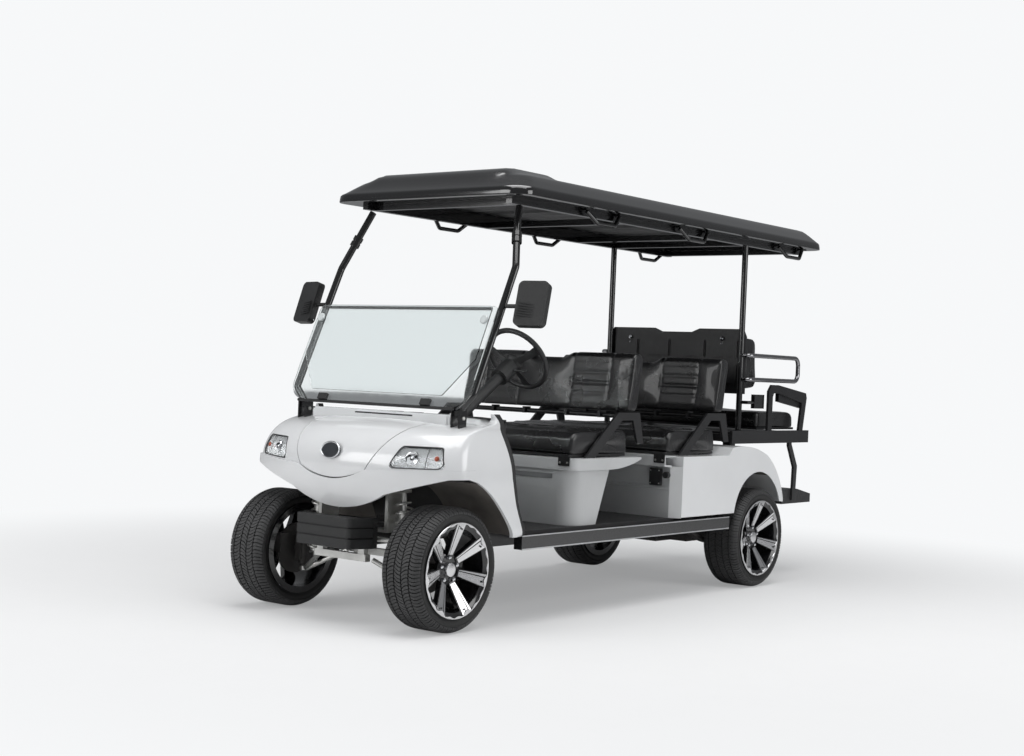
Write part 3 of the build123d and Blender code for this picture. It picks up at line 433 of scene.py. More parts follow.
# The lens sweeps back as it goes out from the bowl, and the bulbs sit a little behind its face.
LAMP_TURN = radians(22)
BOWL_X, LENS_FRONT, LENS_SWEEP, BEHIND_LENS = 0.395, -0.1349, 0.395, 0.0085
bowl_outline = ((-0.004, 0.0290), (0.0035, 0.0280), (0.0040, 0.0265), (0.0012, 0.0225), (0.0006, 0.0))
bulb_outline = ((-0.004, 0.0105), (0.003, 0.0098), (0.006, 0.0065), (0.0072, 0.0))
for hand, label in ((1, "left"), (-1, "right")):
    lamp_chunks = []
    for outline, x, z, mark in (
        (bowl_outline, BOWL_X, 0.714, 0), (bulb_outline, BOWL_X, 0.714, 0), (bulb_outline, 0.494, 0.718, 1),
    ):
        front = LENS_FRONT + (x - BOWL_X) * LENS_SWEEP + BEHIND_LENS
        facing = Matrix.Rotation(-pi / 2 + hand * LAMP_TURN, 4, "Z")
        seat = Matrix.Translation(car(hand * x, front, z)) @ facing
        lamp_chunks.append((*moved(turned(outline, 28), seat), mark))
    bulbs = joined(f"lamp_bulbs_{label}", lamp_chunks, 40)
    shown(f"lamp_bulbs_{label}", bulbs, "cart", [chrome, amber])

# A thin black gasket runs round each lens, and a divider stands before its outer bulb.
gasket = finish("lamp_gasket", (0.012, 0.012, 0.013), 0.4, grain=240)
LENS_CORNERS = ((0.301, 0.6705), (0.536, 0.6775), (0.510, 0.7640), (0.339, 0.7625))
DIVIDER_X = 0.458
BEFORE_CART = -3.0
lens_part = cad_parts["headlights"]


def on_lens(x, z):
    """The point of the lens face straight behind a place in front of the cart."""
    touched, spot, _, _ = lens_part.ray_cast(Vector((x, BEFORE_CART, z)), Vector((0, 1, 0)))
    return [spot] if touched else []


for hand, label in ((1, "left"), (-1, "right")):
    border = []
    for (x, z), (next_x, next_z) in zip(LENS_CORNERS, LENS_CORNERS[1:] + LENS_CORNERS[:1]):
        for share in (0.09, 0.2, 0.35, 0.5, 0.65, 0.8, 0.91):
            border += on_lens(hand * (x + (next_x - x) * share), z + (next_z - z) * share)
    tube(f"lamp_gasket_{label}", border, 0.0021, "cart", gasket, closed=True)
    bar = [spot for z in (0.675, 0.70, 0.73, 0.762) for spot in on_lens(hand * DIVIDER_X, z)]
    tube(f"lamp_divider_{label}", bar, 0.0014, "cart", gasket)

# ---------------------------------------------------------------- hood badge
# A pressed oval plate, enamelled dark, in a bright rolled rim.
badge_enamel = finish("badge_enamel", (0.012, 0.016, 0.022), 0.18, coat=0.7, mottle=0.3)
dress(badge_enamel, "badge_plate")
badge_middle = car(0.0, -0.1995 - 0.0065, 0.7273)
BADGE_RIM_HALF_WIDTH, BADGE_RIM_HALF_HEIGHT = 0.0525, 0.0345
rim_points = []
for k in range(40):
    turn = 2 * pi * k / 40
    high = BADGE_RIM_HALF_HEIGHT * sin(turn)
    rim_points.append(badge_middle + Vector((BADGE_RIM_HALF_WIDTH * cos(turn), 0.2 * high, 0.98 * high)))
tube("badge_rim", rim_points, 0.0034, "cart", chrome, closed=True)

# ---------------------------------------------------------------- bumper, dash and pedals
# The bumper is a thick grained moulding with two grooves. The dash is one black shell
# with cup wells, grained against glare; pedal pads are ribbed rubber on steel arms.
grained = finish("grained_plastic", (0.017, 0.0175, 0.018), 0.46, grain=520, depth=0.0007, mottle=0.2)
dress(grained, "front_bumper", "dashboard", "windscreen_clips")
dress(edging, "pedals")

# ---------------------------------------------------------------- floor and rockers
# The floor is covered by a black mat moulded with fine lengthwise ribs. Rockers are black
# sills held along their top and bottom edges by bright aluminium strips.
floor_mat = finish("floor_mat", (0.022, 0.022, 0.023), 0.55, grain=300, mottle=0.2)
patterned(floor_mat, "ShaderNodeTexWave", 26.0, 0.002, bands_direction="X")
sill = finish("black_sill", (0.013, 0.013, 0.014), 0.22, coat=0.5, grain=90, depth=0.0001)
brushed = finish("brushed_strip", (0.60, 0.61, 0.62), 0.28, metallic=1.0, grain=420, depth=0.0002)
dress(floor_mat, "floor_pan")
dress(sill, "rocker_panels")


def slab(low, high, soft=0.002):
    """Points and faces of a bar with its long edges taken off."""
    bm = bmesh.new()
    bmesh.ops.create_cube(bm, size=1.0)
    middle, size = (Vector(low) + Vector(high)) / 2, Vector(high) - Vector(low)
    for vertex in bm.verts:
        vertex.co = Vector(a * b for a, b in zip(vertex.co, size)) + middle
    bmesh.ops.bevel(bm, geom=bm.edges[:], offset=soft, segments=2, affect="EDGES")
    bm.verts.index_update()
    points = [tuple(vertex.co) for vertex in bm.verts]
    faces = [tuple(vertex.index for vertex in face.verts) for face in bm.faces]
    bm.free()
    return points, faces


strip_chunks = []
for hand in (1, -1):
    for low_z, high_z in ((0.3835, 0.3885), (0.3255, 0.3315)):
        outer, inner = hand * 0.6045, hand * 0.5990
        ends = (car(min(outer, inner), 0.366, low_z), car(max(outer, inner), 2.112, high_z))
        strip_chunks.append((*slab(*ends, 0.001), 0))
shown("rocker_strips", joined("rocker_strips", strip_chunks), "cart", [brushed])

# ---------------------------------------------------------------- seat pods
# Light grey satin mouldings: a tub with a sweeping flange under the front bench and the
# riser under the middle one, with a folded slot, an S-shaped crease and the charge port.
pod_grey = finish("pod_grey", (0.54, 0.55, 0.555), 0.34, coat=0.12, grain=420, depth=0.0003, mottle=0.04)
dress(pod_grey, "front_seat_pod", "middle_seat_pod")
dress(grained, "charge_port")


def ribbon(path, width, thick):
    """A flat band that follows points across the cart and stands out to the front."""
    points = []
    for place in path:
        for up, out in ((-width, 0), (-width * 0.5, -thick), (width * 0.5, -thick), (width, 0)):
            points.append(tuple(place + Vector((0, out, up))))
    return points, skin(len(path), 4, round_ring=False)


crease_path = []
for k in range(61):
    x = 0.545 - 1.09 * k / 60
    rise = 0.5 + 0.5 * sin(max(-pi / 2, min(pi / 2, (x - 0.150) / 0.045)))
    crease_path.append(car(x, 1.6038, 0.508 + 0.040 * rise))
shown("riser_crease", joined("riser_crease", [(*ribbon(crease_path, 0.008, 0.007), 0)], 60),
      "cart", [pod_grey])
# Each slot is a thin dark slab on the pod's face: painted shade inside the folded slot.
painted_slot_shade = finish("slot_shadow", (0.22, 0.225, 0.23), 0.5, grain=300)
slot_chunks = [(*slab(car(0.06, 0.7935, 0.610), car(0.43, 0.7972, 0.632), 0.0016), 0),
               (*slab(car(-0.43, 0.7935, 0.610), car(-0.06, 0.7972, 0.632), 0.0016), 0)]
shown("pod_slots", joined("pod_slots", slot_chunks), "cart", [painted_slot_shade])
# Hinge leaves folded from black plate, screwed under each flange's front edge.
TO_FRONT = Matrix.Rotation(-pi / 2, 4, "Z")
leaf_chunks = []
for shift in (0.0, 0.810):
    front = 0.785 if shift == 0 else 0.730
    for x in (0.502, -0.502) if shift == 0 else (0.529, -0.529):
        near, far = front + shift - 0.006, front + shift
        leaf_chunks.append((*slab(car(x - 0.032, near, 0.672), car(x + 0.032, far, 0.716)), 0))
        for screw_x in (x - 0.020, x + 0.020):
            screw = turned(((0.0, 0.0), (0.0, 0.0055), (0.002, 0.0050), (0.0028, 0.0)), 12)
            leaf_chunks.append((*moved(screw, Matrix.Translation(car(screw_x, near, 0.686)) @ TO_FRONT), 1))
shown("hinge_leaves", joined("hinge_leaves", leaf_chunks), "cart", [black_paint, zinc])
port_chunks = [(*slab(car(0.4475, 1.5775, 0.560), car(0.5125, 1.5825, 0.640), 0.0022), 0)]
for x in (0.455, 0.505):
    for z in (0.568, 0.632):
        screw = turned(((0.0, 0.0), (0.0, 0.004), (0.0018, 0.0036), (0.0024, 0.0)), 10)
        port_chunks.append((*moved(screw, Matrix.Translation(car(x, 1.5775, z)) @ TO_FRONT), 1))
shown("charge_door", joined("charge_door", port_chunks), "cart", [grained, zinc])

# ---------------------------------------------------------------- seat cushions and backs
# Moulded foam under black marine vinyl. Each place has a panel of sewn channels between
# smooth bolsters; the backs close at the sides in a plain black gusset.
vinyl = finish("seat_vinyl", (0.008, 0.008, 0.0085), 0.27, coat=0.35, grain=420, depth=0.0002, mottle=0.25)
_, hide_grain = patterned(vinyl, "ShaderNodeTexVoronoi", 420.0, 0.0004, output="Distance")
crumple, _ = patterned(vinyl, "ShaderNodeTexNoise", 9.0, 0.0010, over=hide_grain)
crumple.inputs["Detail"].default_value = 1.0

PANEL_MIDDLE, PANEL_HALF = 0.272, 0.113


def pad_columns(half, seams, spacing=0.0105):
    """Distances across a pad, evenly spread but with one exactly on each upright seam."""
    stops = sorted({-half, half, *seams, *[-seam for seam in seams]})
    columns = []
    for low, high in zip(stops, stops[1:]):
        count = max(round((high - low) / spacing), 1)
        columns += [low + (high - low) * k / count for k in range(count)]
    return columns + [half]


def pad_ring(corners, spacing=0.0105):
    """Points round a pad's section; a corner marked 1 is where a channel is sewn."""
    ring = []
    for (y, z, sewn), (next_y, next_z, _) in zip(corners, corners[1:] + corners[:1]):
        length = ((next_y - y) ** 2 + (next_z - z) ** 2) ** 0.5
        count = max(round(length / spacing), 1)
        for k in range(count):
            share = k / count
            ring.append((y + (next_y - y) * share, z + (next_z - z) * share, sewn if k == 0 else 0))
    return ring


def pad(name, corners, half, seams, dip, seam_side, fixed, shrink=0.004):
    """A closed pad with its sewn lines drawn in, and the numbers of the points that stay put."""
    ring = pad_ring(corners)
    middle_y = sum(point[0] for point in ring) / len(ring)
    middle_z = sum(point[1] for point in ring) / len(ring)
    columns = [(x, 1.0) for x in pad_columns(half - 0.012, seams)]
    for inset, scale in ((0.006, 0.985), (0.001, 0.955), (0.0, 0.90), (0.0, 0.7), (0.0, 0.45), (0.0, 0.2)):
        x = half - inset
        columns.append((x, scale))
        columns.insert(0, (-x, scale))
    points, still = [], []
    count = len(ring)
    for x, scale in columns:
        on_seam = any(abs(abs(x) - seam) < 1e-5 for seam in seams)
        in_panel = abs(abs(x) - PANEL_MIDDLE) < PANEL_HALF - 1e-4
        for y, z, sewn in ring:
            inward = Vector((0, middle_y - y, middle_z - z))
            depth = shrink
            stitched = scale == 1.0 and seam_side(y, z) and (on_seam or (sewn and in_panel))
            if stitched:
                depth += 0.006
            place = Vector((x, middle_y + (y - middle_y) * scale, middle_z + (z - middle_z) * scale))
            place += inward.normalized() * depth
            place.z += dip(x, z)
            if stitched or fixed(y, z):
                still.append(len(points))
            points.append(tuple(place + Vector((0, FRONT_AXLE_Y, 0))))
    faces = skin(len(columns), count)
    last = (len(columns) - 1) * count
    faces.append(tuple(range(count)))
    faces.append(tuple(reversed(range(last, last + count))))
    mesh = joined(name, [(points, faces, 0)], 180)
    piece = bpy.data.objects.new(name, mesh)
    bpy.context.collection.objects.link(piece)
    mesh.materials.append(vinyl)
    stitched_group = piece.vertex_groups.new(name="stitched")
    stitched_group.add(still, 1.0, "REPLACE")
    return piece


EASING, PRESSURE, MOMENTS = 24, 4.0, 20


def filled(pads, reach):
    """Swells pads with pressure against their stitching, keeps the settled shape and eases its creases."""
    scene = bpy.context.scene
    starts = []
    for piece in pads:
        starts.append([vertex.co.copy() for vertex in piece.data.vertices])
        cloth = piece.modifiers.new("filling", "CLOTH")
        cloth.settings.quality = 5
        cloth.settings.mass = 0.25
        cloth.settings.tension_stiffness = 15
        cloth.settings.compression_stiffness = 15
        cloth.settings.bending_stiffness = 4.0
        cloth.settings.vertex_group_mass = "stitched"
        cloth.settings.use_pressure = True
        cloth.settings.uniform_pressure_force = PRESSURE
        cloth.settings.effector_weights.gravity = 0.0
        cloth.collision_settings.use_collision = False
    for moment in range(1, MOMENTS + 1):
        scene.frame_set(moment)
    graph = bpy.context.evaluated_depsgraph_get()
    for piece, start in zip(pads, starts):
        settled = [vertex.co.copy() for vertex in piece.evaluated_get(graph).data.vertices]
        piece.modifiers.clear()
        shifts = []
        for before, after in zip(start, settled):
            shift = after - before
            shifts.append(shift.normalized() * min(shift.length, reach))
        sewn = {vertex.index for vertex in piece.data.vertices if vertex.groups}
        near = [[] for _ in shifts]
        for edge in piece.data.edges:
            a, b = edge.vertices
            near[a].append(b)
            near[b].append(a)
        for _ in range(EASING):
            shifts = [shift if k in sewn or not near[k] else
                      (shift + sum((shifts[n] for n in near[k]), Vector()) / len(near[k])) / 2
                      for k, shift in enumerate(shifts)]
        for vertex, before, shift in zip(piece.data.vertices, start, shifts):
            vertex.co = before + shift
    scene.frame_set(1)
    for piece in pads:
        smooth = piece.modifiers.new("smooth", "SUBSURF")
        smooth.levels = smooth.render_levels = 1
        graph = bpy.context.evaluated_depsgraph_get()
        finer = bpy.data.meshes.new_from_object(piece.evaluated_get(graph))
        piece.modifiers.clear()
        piece.data = finer
        finer.shade_smooth()


GAP_HALF_WIDTH, GAP_EDGE, RISE_AT_PLACES, DIP_BETWEEN = 0.070, 0.085, 0.006, 0.027
DIP_FROM, DIP_OVER = 1.08, 0.10


def bench_dip(x, z):
    """The back's top edge stands higher behind each place than between them."""
    between = max(0.0, 1 - max(abs(x) - GAP_HALF_WIDTH, 0) / GAP_EDGE)
    between = between * between * (3 - 2 * between)
    near_top = min(max((z - DIP_FROM) / DIP_OVER, 0.0), 1.0)
    return near_top * (RISE_AT_PLACES - DIP_BETWEEN * between)


def back_slope(z, shift, foot_y=1.262, lean=0.038):
    """How far back a leaning cushion's face stands at a height."""
    return foot_y + shift + lean * (z - BACK_FOOT) / BACK_RISE


def level(x, z):
    """A cushion whose edge stays straight."""
    return 0.0


# Sections of the cushions: distance from the front axle, height, and 1 where a channel is sewn.
BACK_FOOT, BACK_RISE = 0.918, 0.242
CHANNELS = (0.942, 0.997, 1.052, 1.107, 1.162)
BACK_TOP_AND_REAR = (
    (1.306, 1.182), (1.324, 1.198), (1.366, 1.198), (1.383, 1.186), (1.388, 1.160), (1.348, 0.932),
    (1.336, 0.918),
)
SEAT_SECTION = (
    (0.824, 0.722, 0), (0.818, 0.734, 0), (0.820, 0.796, 0), (0.840, 0.822, 0), (0.884, 0.837, 1),
    (0.958, 0.8380, 1), (1.032, 0.8385, 1), (1.106, 0.839, 1), (1.180, 0.8395, 1), (1.252, 0.840, 0),
    (1.272, 0.828, 0), (1.284, 0.734, 0), (1.280, 0.722, 0),
)
REAR_BACK_SECTION = [
    (2.506, 1.048, 0), (2.612, 1.050, 0), (2.634, 1.072, 0), (2.640, 1.110, 1), (2.634, 1.170, 1),
    (2.628, 1.230, 1), (2.622, 1.290, 1), (2.610, 1.318, 0), (2.586, 1.330, 0), (2.512, 1.330, 0),
]
REAR_SEAT_SECTION = [
    (2.612, 0.840, 0), (3.034, 0.840, 0), (3.038, 0.852, 0), (3.036, 0.896, 0), (3.022, 0.915, 0),
    (2.992, 0.925, 1), (2.916, 0.925, 1), (2.840, 0.925, 1), (2.764, 0.925, 1), (2.688, 0.925, 1),
    (2.622, 0.925, 0), (2.612, 0.915, 0),
]
BENCH_SEAMS = (PANEL_MIDDLE - PANEL_HALF, PANEL_MIDDLE + PANEL_HALF)
REAR_SEAMS = tuple(seam - 0.03 for seam in BENCH_SEAMS)
pads = {}
for row, shift in (("front", 0.0), ("middle", 0.810)):
    back_corners = [(1.270 + shift, BACK_FOOT, 0)]
    back_corners += [(back_slope(z, shift), z, 1) for z in CHANNELS]
    back_corners += [(y + shift, z, 0) for y, z in BACK_TOP_AND_REAR]
    pads[f"{row}_back_pad"] = pad(
        f"{row}_back_pad", back_corners, 0.512, BENCH_SEAMS, bench_dip,
        lambda y, z, s=shift: y < back_slope(z, s) + 0.012 or z > 1.19,
        lambda y, z, s=shift: y > back_slope(z, s, 1.340, 0.043) - 0.004 or z < 0.920,
    )
    seat_corners = [(y + shift, z, sewn) for y, z, sewn in SEAT_SECTION]
    pads[f"{row}_seat_pad"] = pad(
        f"{row}_seat_pad", seat_corners, 0.512, BENCH_SEAMS, level,
        lambda y, z, s=shift: z > 0.832 and 0.87 + s < y < 1.20 + s,
        lambda y, z: z < 0.726,
    )
pads["rear_back_pad"] = pad(
    "rear_back_pad", REAR_BACK_SECTION, 0.436, REAR_SEAMS, level,
    lambda y, z: y > 2.60, lambda y, z: y < 2.510,
)
pads["rear_seat_pad"] = pad(
    "rear_seat_pad", REAR_SEAT_SECTION, 0.458, REAR_SEAMS, level,
    lambda y, z: z > 0.918 and y < 3.0, lambda y, z: z < 0.846,
)
filled(list(pads.values()), 0.010)
for label, body, node in (
    ("front_back_pad", "cart", "front_seat_back"), ("middle_back_pad", "cart", "middle_seat_back"),
    ("front_seat_pad", "front_seat_base", "front_seat_cushion"),
    ("middle_seat_pad", "middle_seat_base", "middle_seat_cushion"),
    ("rear_back_pad", "cart", "rear_seat_back"), ("rear_seat_pad", "rear_flip_seat", "rear_seat_cushion"),
):
    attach(pads[label], body)
    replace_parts(pads[label], node)

# ---------------------------------------------------------------- steering wheel and column
# A thick soft-grip rim on three short cast spokes with a shallow horn pad; the column wears
# a moulded shroud with two stalks.
soft_grip = finish("soft_grip", (0.017, 0.017, 0.018), 0.45, grain=480, depth=0.0005, mottle=0.2)
dress(grained, "steering_column")
WHEEL_MIDDLE = car(0.260, 0.722, 1.149)
COLUMN_TILT = radians(34)
up_wheel = Vector((0, -sin(COLUMN_TILT), cos(COLUMN_TILT)))
to_driver = Vector((0, cos(COLUMN_TILT), sin(COLUMN_TILT)))
wheel_plane = Matrix.Translation(WHEEL_MIDDLE) @ Matrix((
    (1, 0, 0, 0), (0, up_wheel.y, to_driver.y, 0), (0, up_wheel.z, to_driver.z, 0), (0, 0, 0, 1),
))
GRIP_RING, GRIP_RADIUS = 0.152, 0.0128
grip_points = []
GRIP_STEPS, GRIP_SIDES = 128, 14
for k in range(GRIP_STEPS):
    turn = 2 * pi * k / GRIP_STEPS
    finger = 0.0005 * max(cos(turn * 36), -0.2)
    for i in range(GRIP_SIDES):
        around = 2 * pi * i / GRIP_SIDES
        thick = GRIP_RADIUS - 0.0006 + (finger if cos(around) < 0.2 else 0.0)
        r = GRIP_RING + thick * cos(around)
        grip_points.append((r * cos(turn), r * sin(turn), thick * sin(around)))
wheel_chunks = [(grip_points, skin(GRIP_STEPS, GRIP_SIDES, back_to_first=True), 0)]
for degrees in (20, 160, 270):
    turn = radians(degrees)
    arm_points = []
    for k in range(9):
        share = k / 8
        r = 0.030 + (GRIP_RING - 0.034) * share
        wide = 0.019 - 0.006 * sin(pi * share) + 0.006 * share
        sink = -0.044 * (1 - share) ** 1.4
        for part, lift in ((-1, -0.004), (-0.8, 0.003), (0.8, 0.003), (1, -0.004), (0, -0.007)):
            s = wide * part
            arm_points.append((r * cos(turn) - s * sin(turn), r * sin(turn) + s * cos(turn), sink + lift))
    wheel_chunks.append((arm_points, skin(9, 5), 1))
HORN_PAD_OUTLINE = (
    (-0.060, 0.026), (-0.046, 0.040), (-0.036, 0.046), (-0.030, 0.044), (-0.026, 0.034), (-0.0245, 0.0),
)
turned_pad = moved(turned(HORN_PAD_OUTLINE, 48), Matrix.Rotation(-pi / 2, 4, "Y"))
wheel_chunks.append((*turned_pad, 1))
wheel_piece = shown("driver_wheel", joined("driver_wheel", wheel_chunks, 50), "steering_wheel_body",
                    [soft_grip, grained], wheel_plane)
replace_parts(wheel_piece, "steering_wheel")
boss = WHEEL_MIDDLE - to_driver * 0.098
for x, drop, label in ((0.105, 0.010, "signal"), (-0.100, 0.004, "light")):
    root = boss + Vector((0.03 if x > 0 else -0.03, 0, 0))
    tip = boss + Vector((x, 0, 0)) - up_wheel * drop + to_driver * 0.012
    tube(f"{label}_stalk", [root, root.lerp(tip, 0.4), root.lerp(tip, 0.8) + up_wheel * 0.002, tip], 0.0052,
         "cart", grained)
key_seat = Matrix.Translation(car(0.395, 0.328, 0.810)) @ Matrix.Rotation(pi / 2, 4, "Z")
key_outline = ((0.0, 0.0), (0.0, 0.017), (0.004, 0.017), (0.006, 0.014), (0.006, 0.0))
key_switch = joined("key_switch", [(*turned(key_outline, 32), 0)])
shown("key_switch", key_switch, "cart", [chrome], key_seat)

# ---------------------------------------------------------------- rear seat, posts and step
# The rear seat's back is a blow-moulded black shell with raised panels; the frame, step and
# armrests are folded black steel with chequered tread on top, the arm pads are foam.
shell_black = finish("shell_black", (0.011, 0.011, 0.012), 0.38, grain=380, depth=0.0006, mottle=0.2)
dress(shell_black, "rear_back_shell", "rear_armrests")
panel_chunks = []
for middle_x in (-0.325, -0.115, 0.115, 0.325):
    for low_z, high_z in ((1.215, 1.310), (1.070, 1.180)):
        ends = (car(middle_x - 0.078, 2.4750, low_z), car(middle_x + 0.078, 2.488, high_z))
        panel_chunks.append((*slab(*ends, 0.0055), 0))
shown("shell_panels", joined("shell_panels", panel_chunks, 60), "cart", [shell_black])
gloss_black = finish("gloss_black", (0.006, 0.006, 0.0065), 0.2, coat=0.6, grain=70, depth=0.00008)
dress(gloss_black, "rear_posts", "front_struts", "roof_frame", "grab_handles")
rail_bright = finish("rail_bright", (0.30, 0.30, 0.31), 0.18, metallic=1.0, grain=80, depth=0.0001)
dress(rail_bright, "side_handrails")
tread_plate = finish("tread_plate", (0.024, 0.024, 0.025), 0.5, coat=0.1, grain=260)
_, chequers = patterned(tread_plate, "ShaderNodeTexVoronoi", 46.0, 0.0025, "Distance", feature="SMOOTH_F1")
chequers.invert = True
dress(tread_plate, "foot_platform")
# A split clamp closes round each front strut below the roof.
collar_outline = ((-0.026, 0.0160), (-0.026, 0.0225), (-0.004, 0.0225), (-0.004, 0.0195), (0.004, 0.0195),
                  (0.004, 0.0225), (0.026, 0.0225), (0.026, 0.0160))
for hand, label in ((1, "left"), (-1, "right")):
    lower_bend, upper_bend = car(hand * 0.522, 0.346, 1.540), car(hand * 0.470, 0.410, 1.702)
    along = (upper_bend - lower_bend).normalized().to_track_quat("X", "Z").to_matrix().to_4x4()
    collar_seat = Matrix.Translation(lower_bend.lerp(upper_bend, 0.80)) @ along
    collar = joined(f"strut_collar_{label}", [(*turned(collar_outline, 32), 0)])
    shown(f"strut_collar_{label}", collar, "cart", [gloss_black], collar_seat)
# Belt anchors: a chromed bolt over a small plate, behind each rider.
bolt_chunks = []
for x in (-0.30, 0.30):
    for z, r in ((1.318, 0.011), (1.292, 0.006)):
        screw = turned(((0.0, 0.0), (0.0, r), (0.006, r * 0.9), (0.009, 0.0)), 16)
        bolt_chunks.append((*moved(screw, Matrix.Translation(car(x, 2.4795, z)) @ TO_FRONT), 0))
shown("belt_anchors", joined("belt_anchors", bolt_chunks), "cart", [chrome])

# ---------------------------------------------------------------- windscreen
# Two flat sheets of clear acrylic: the lower one clipped to the struts, the upper one folded
# down in front of it on a full-width black hinge; pale strips along their side edges are a
# painted highlight, where the cut edges catch the light. A white ledge, a shelf and a rubber
# seal finish the foot.
acrylic = lens.copy()
acrylic.name = "clear_acrylic"
acrylic_shader = acrylic.node_tree.nodes["Principled BSDF"]
acrylic_shader.inputs["Base Color"].default_value = (0.90, 0.93, 0.93, 1)
dress(acrylic, "windscreen_lower", "windscreen_upper")
SCREEN_FOOT = car(0, 0.046, 0.925)
SCREEN_LEAN = radians(24)
up_screen = Vector((0, sin(SCREEN_LEAN), cos(SCREEN_LEAN)))
out_screen = Vector((0, -cos(SCREEN_LEAN), sin(SCREEN_LEAN)))


def on_screen(x, up, out):
    """A point on the leaning screen: across it, up it and out to the front."""
    return SCREEN_FOOT + Vector((x, 0, 0)) + up_screen * up + out_screen * out


# A pale finish: painted highlight on the screen's edge strips, and the latch knobs' own white.
edge_highlight_and_latch_white = finish("painted_edge_highlight_and_latch_white", (0.62, 0.66, 0.66), 0.4, grain=300, mottle=0.1)
# Painted highlight: pale rods along the panes' side edges, where the cut edges catch the light.
for hand, label in ((1, "left"), (-1, "right")):
    run = [on_screen(hand * 0.5275, up, 0.0075) for up in (0.13, 0.22, 0.31, 0.40)]
    tube(f"edge_highlight_strip_{label}", run, 0.0022, "cart", edge_highlight_and_latch_white)
latch_chunks = []
for hand in (1, -1):
    knob = turned(((0.0, 0.0), (0.0, 0.020), (0.007, 0.020), (0.010, 0.016), (0.010, 0.0)), 28)
    lean = Matrix.Rotation(-SCREEN_LEAN, 4, "X")
    seat = Matrix.Translation(on_screen(hand * 0.486, 0.405, 0.0195)) @ lean @ TO_FRONT
    latch_chunks.append((*moved(knob, seat), 0))
shown("screen_latches", joined("screen_latches", latch_chunks), "cart", [edge_highlight_and_latch_white])
# A white ledge with a slit vent rises from the hood to the screen's foot; the vent is a thin
# black sheet on the ledge's face, painted shade inside the slit.
ledge_chunks = [(*slab(car(-0.405, 0.080, 0.845), car(0.400, 0.150, 0.895), 0.007), 0),
                (*slab(car(-0.140, 0.0785, 0.8795), car(0.200, 0.083, 0.8855), 0.001), 1)]
shown("screen_ledge", joined("screen_ledge", ledge_chunks, 50), "cart", [body_white, edging])
# A thin white shelf closes the gap between the hood, the dash and the edging at each end.
SHELF_FRONT, SHELF_REAR = 0.142, 0.245
shelf_columns = [-0.546, -0.534, -0.520, -0.505, -0.48, -0.40, -0.30, -0.20, -0.10, 0.0]
shelf_columns += [-x for x in reversed(shelf_columns[:-1])]
shelf_rows = [SHELF_FRONT + (SHELF_REAR - SHELF_FRONT) * k / 10 for k in range(11)]
shelf_points, shelf_faces = [], []
for drop in (0.0, 0.0025):
    for y in shelf_rows:
        for x in shelf_columns:
            hood_height = 0.8825 - 0.0850 * x * x - 0.0800 * max(abs(x) - 0.40, 0.0)
            dash_height = 0.8855 - 0.075 * max(y - 0.18, 0.0)
            edge_height = 0.8505 + 0.22 * (y - SHELF_FRONT)
            inward = min(max((0.520 - abs(x)) / 0.015, 0.0), 1.0)
            climb = min((y - SHELF_FRONT) / 0.030, 1.0)
            flat = hood_height + (dash_height - hood_height) * climb
            shelf_points.append(tuple(car(x, y, edge_height + (flat - edge_height) * inward - drop)))
across_count, layer = len(shelf_columns), len(shelf_columns) * len(shelf_rows)
for row in range(len(shelf_rows) - 1):
    for column in range(across_count - 1):
        a = row * across_count + column
        face = (a, a + 1, a + across_count + 1, a + across_count)
        shelf_faces += [face, tuple(k + layer for k in reversed(face))]
rim_walk = list(range(across_count)) + [across_count * (k + 2) - 1 for k in range(len(shelf_rows) - 1)]
rim_walk += [layer - 2 - k for k in range(across_count - 1)]
rim_walk += [across_count * k for k in range(len(shelf_rows) - 2, 0, -1)]
shelf_faces += [(a, b, b + layer, a + layer) for a, b in zip(rim_walk, rim_walk[1:] + rim_walk[:1])]
shelf = joined("cowl_shelf", [(shelf_points, shelf_faces, 0)], 60)
shown("cowl_shelf", shelf, "cart", [body_white])
ear_chunks = []
for hand in (1, -1):
    bolt = turned(((0.0, 0.0), (0.0, 0.0085), (0.006, 0.0080), (0.007, 0.0)), 6)
    for x, facing in ((0.481, 0.0), (0.431, pi)):
        if hand < 0:
            x, facing = -x, pi - facing
        seat = Matrix.Translation(car(x, 0.084, 0.884)) @ Matrix.Rotation(facing, 4, "Z")
        ear_chunks.append((*moved(bolt, seat), 0))
shown("strut_bolts", joined("strut_bolts", ear_chunks), "cart", [zinc])
foot_rail = [on_screen(x, -0.004, 0.004) for x in (-0.46, -0.2, 0.2, 0.46)]
tube("screen_foot_seal", foot_rail, 0.007, "cart", edging)

# ---------------------------------------------------------------- mirrors
# Grained black housings on short arms with a ribbed band across the back; silvered glass
# faces the driver.
dress(grained, "mirrors")
silver = (0.80, 0.82, 0.84)
mirror_glass = finish("mirror_glass", silver, 0.03, metallic=1.0, grain=20, depth=0.00001, mottle=0.01)
MIRROR_TURN = radians(20)
mirror_out = Vector((sin(MIRROR_TURN), -cos(MIRROR_TURN), 0.3)).normalized()
mirror_across = Vector((cos(MIRROR_TURN), sin(MIRROR_TURN), 0))
mirror_up = mirror_out.cross(mirror_across)
mirror_axes = Matrix((mirror_across, mirror_up, mirror_out)).transposed().to_4x4()
mirror_seat = Matrix.Translation(car(0.667, 0.285, 1.375)) @ mirror_axes @ Matrix.Rotation(radians(-7), 4, "Z")
for label, turnabout in (("left", Matrix()), ("right", Matrix.Scale(-1, 4, (1, 0, 0)))):
    glass = slab((-0.061, -0.091, -0.0192), (0.061, 0.091, -0.0176), 0.0006)
    mirror_chunks = [(*moved(glass, turnabout @ mirror_seat), 1)]
    for k in range(6):
        low = -0.064 + 0.011 * k
        rib = slab((-0.060, low, 0.0172), (0.060, low + 0.007, 0.0205), 0.0015)
        mirror_chunks.append((*moved(rib, turnabout @ mirror_seat), 0))
    mirror = joined(f"mirror_{label}", mirror_chunks)
    shown(f"mirror_{label}", mirror, "cart", [grained, mirror_glass])

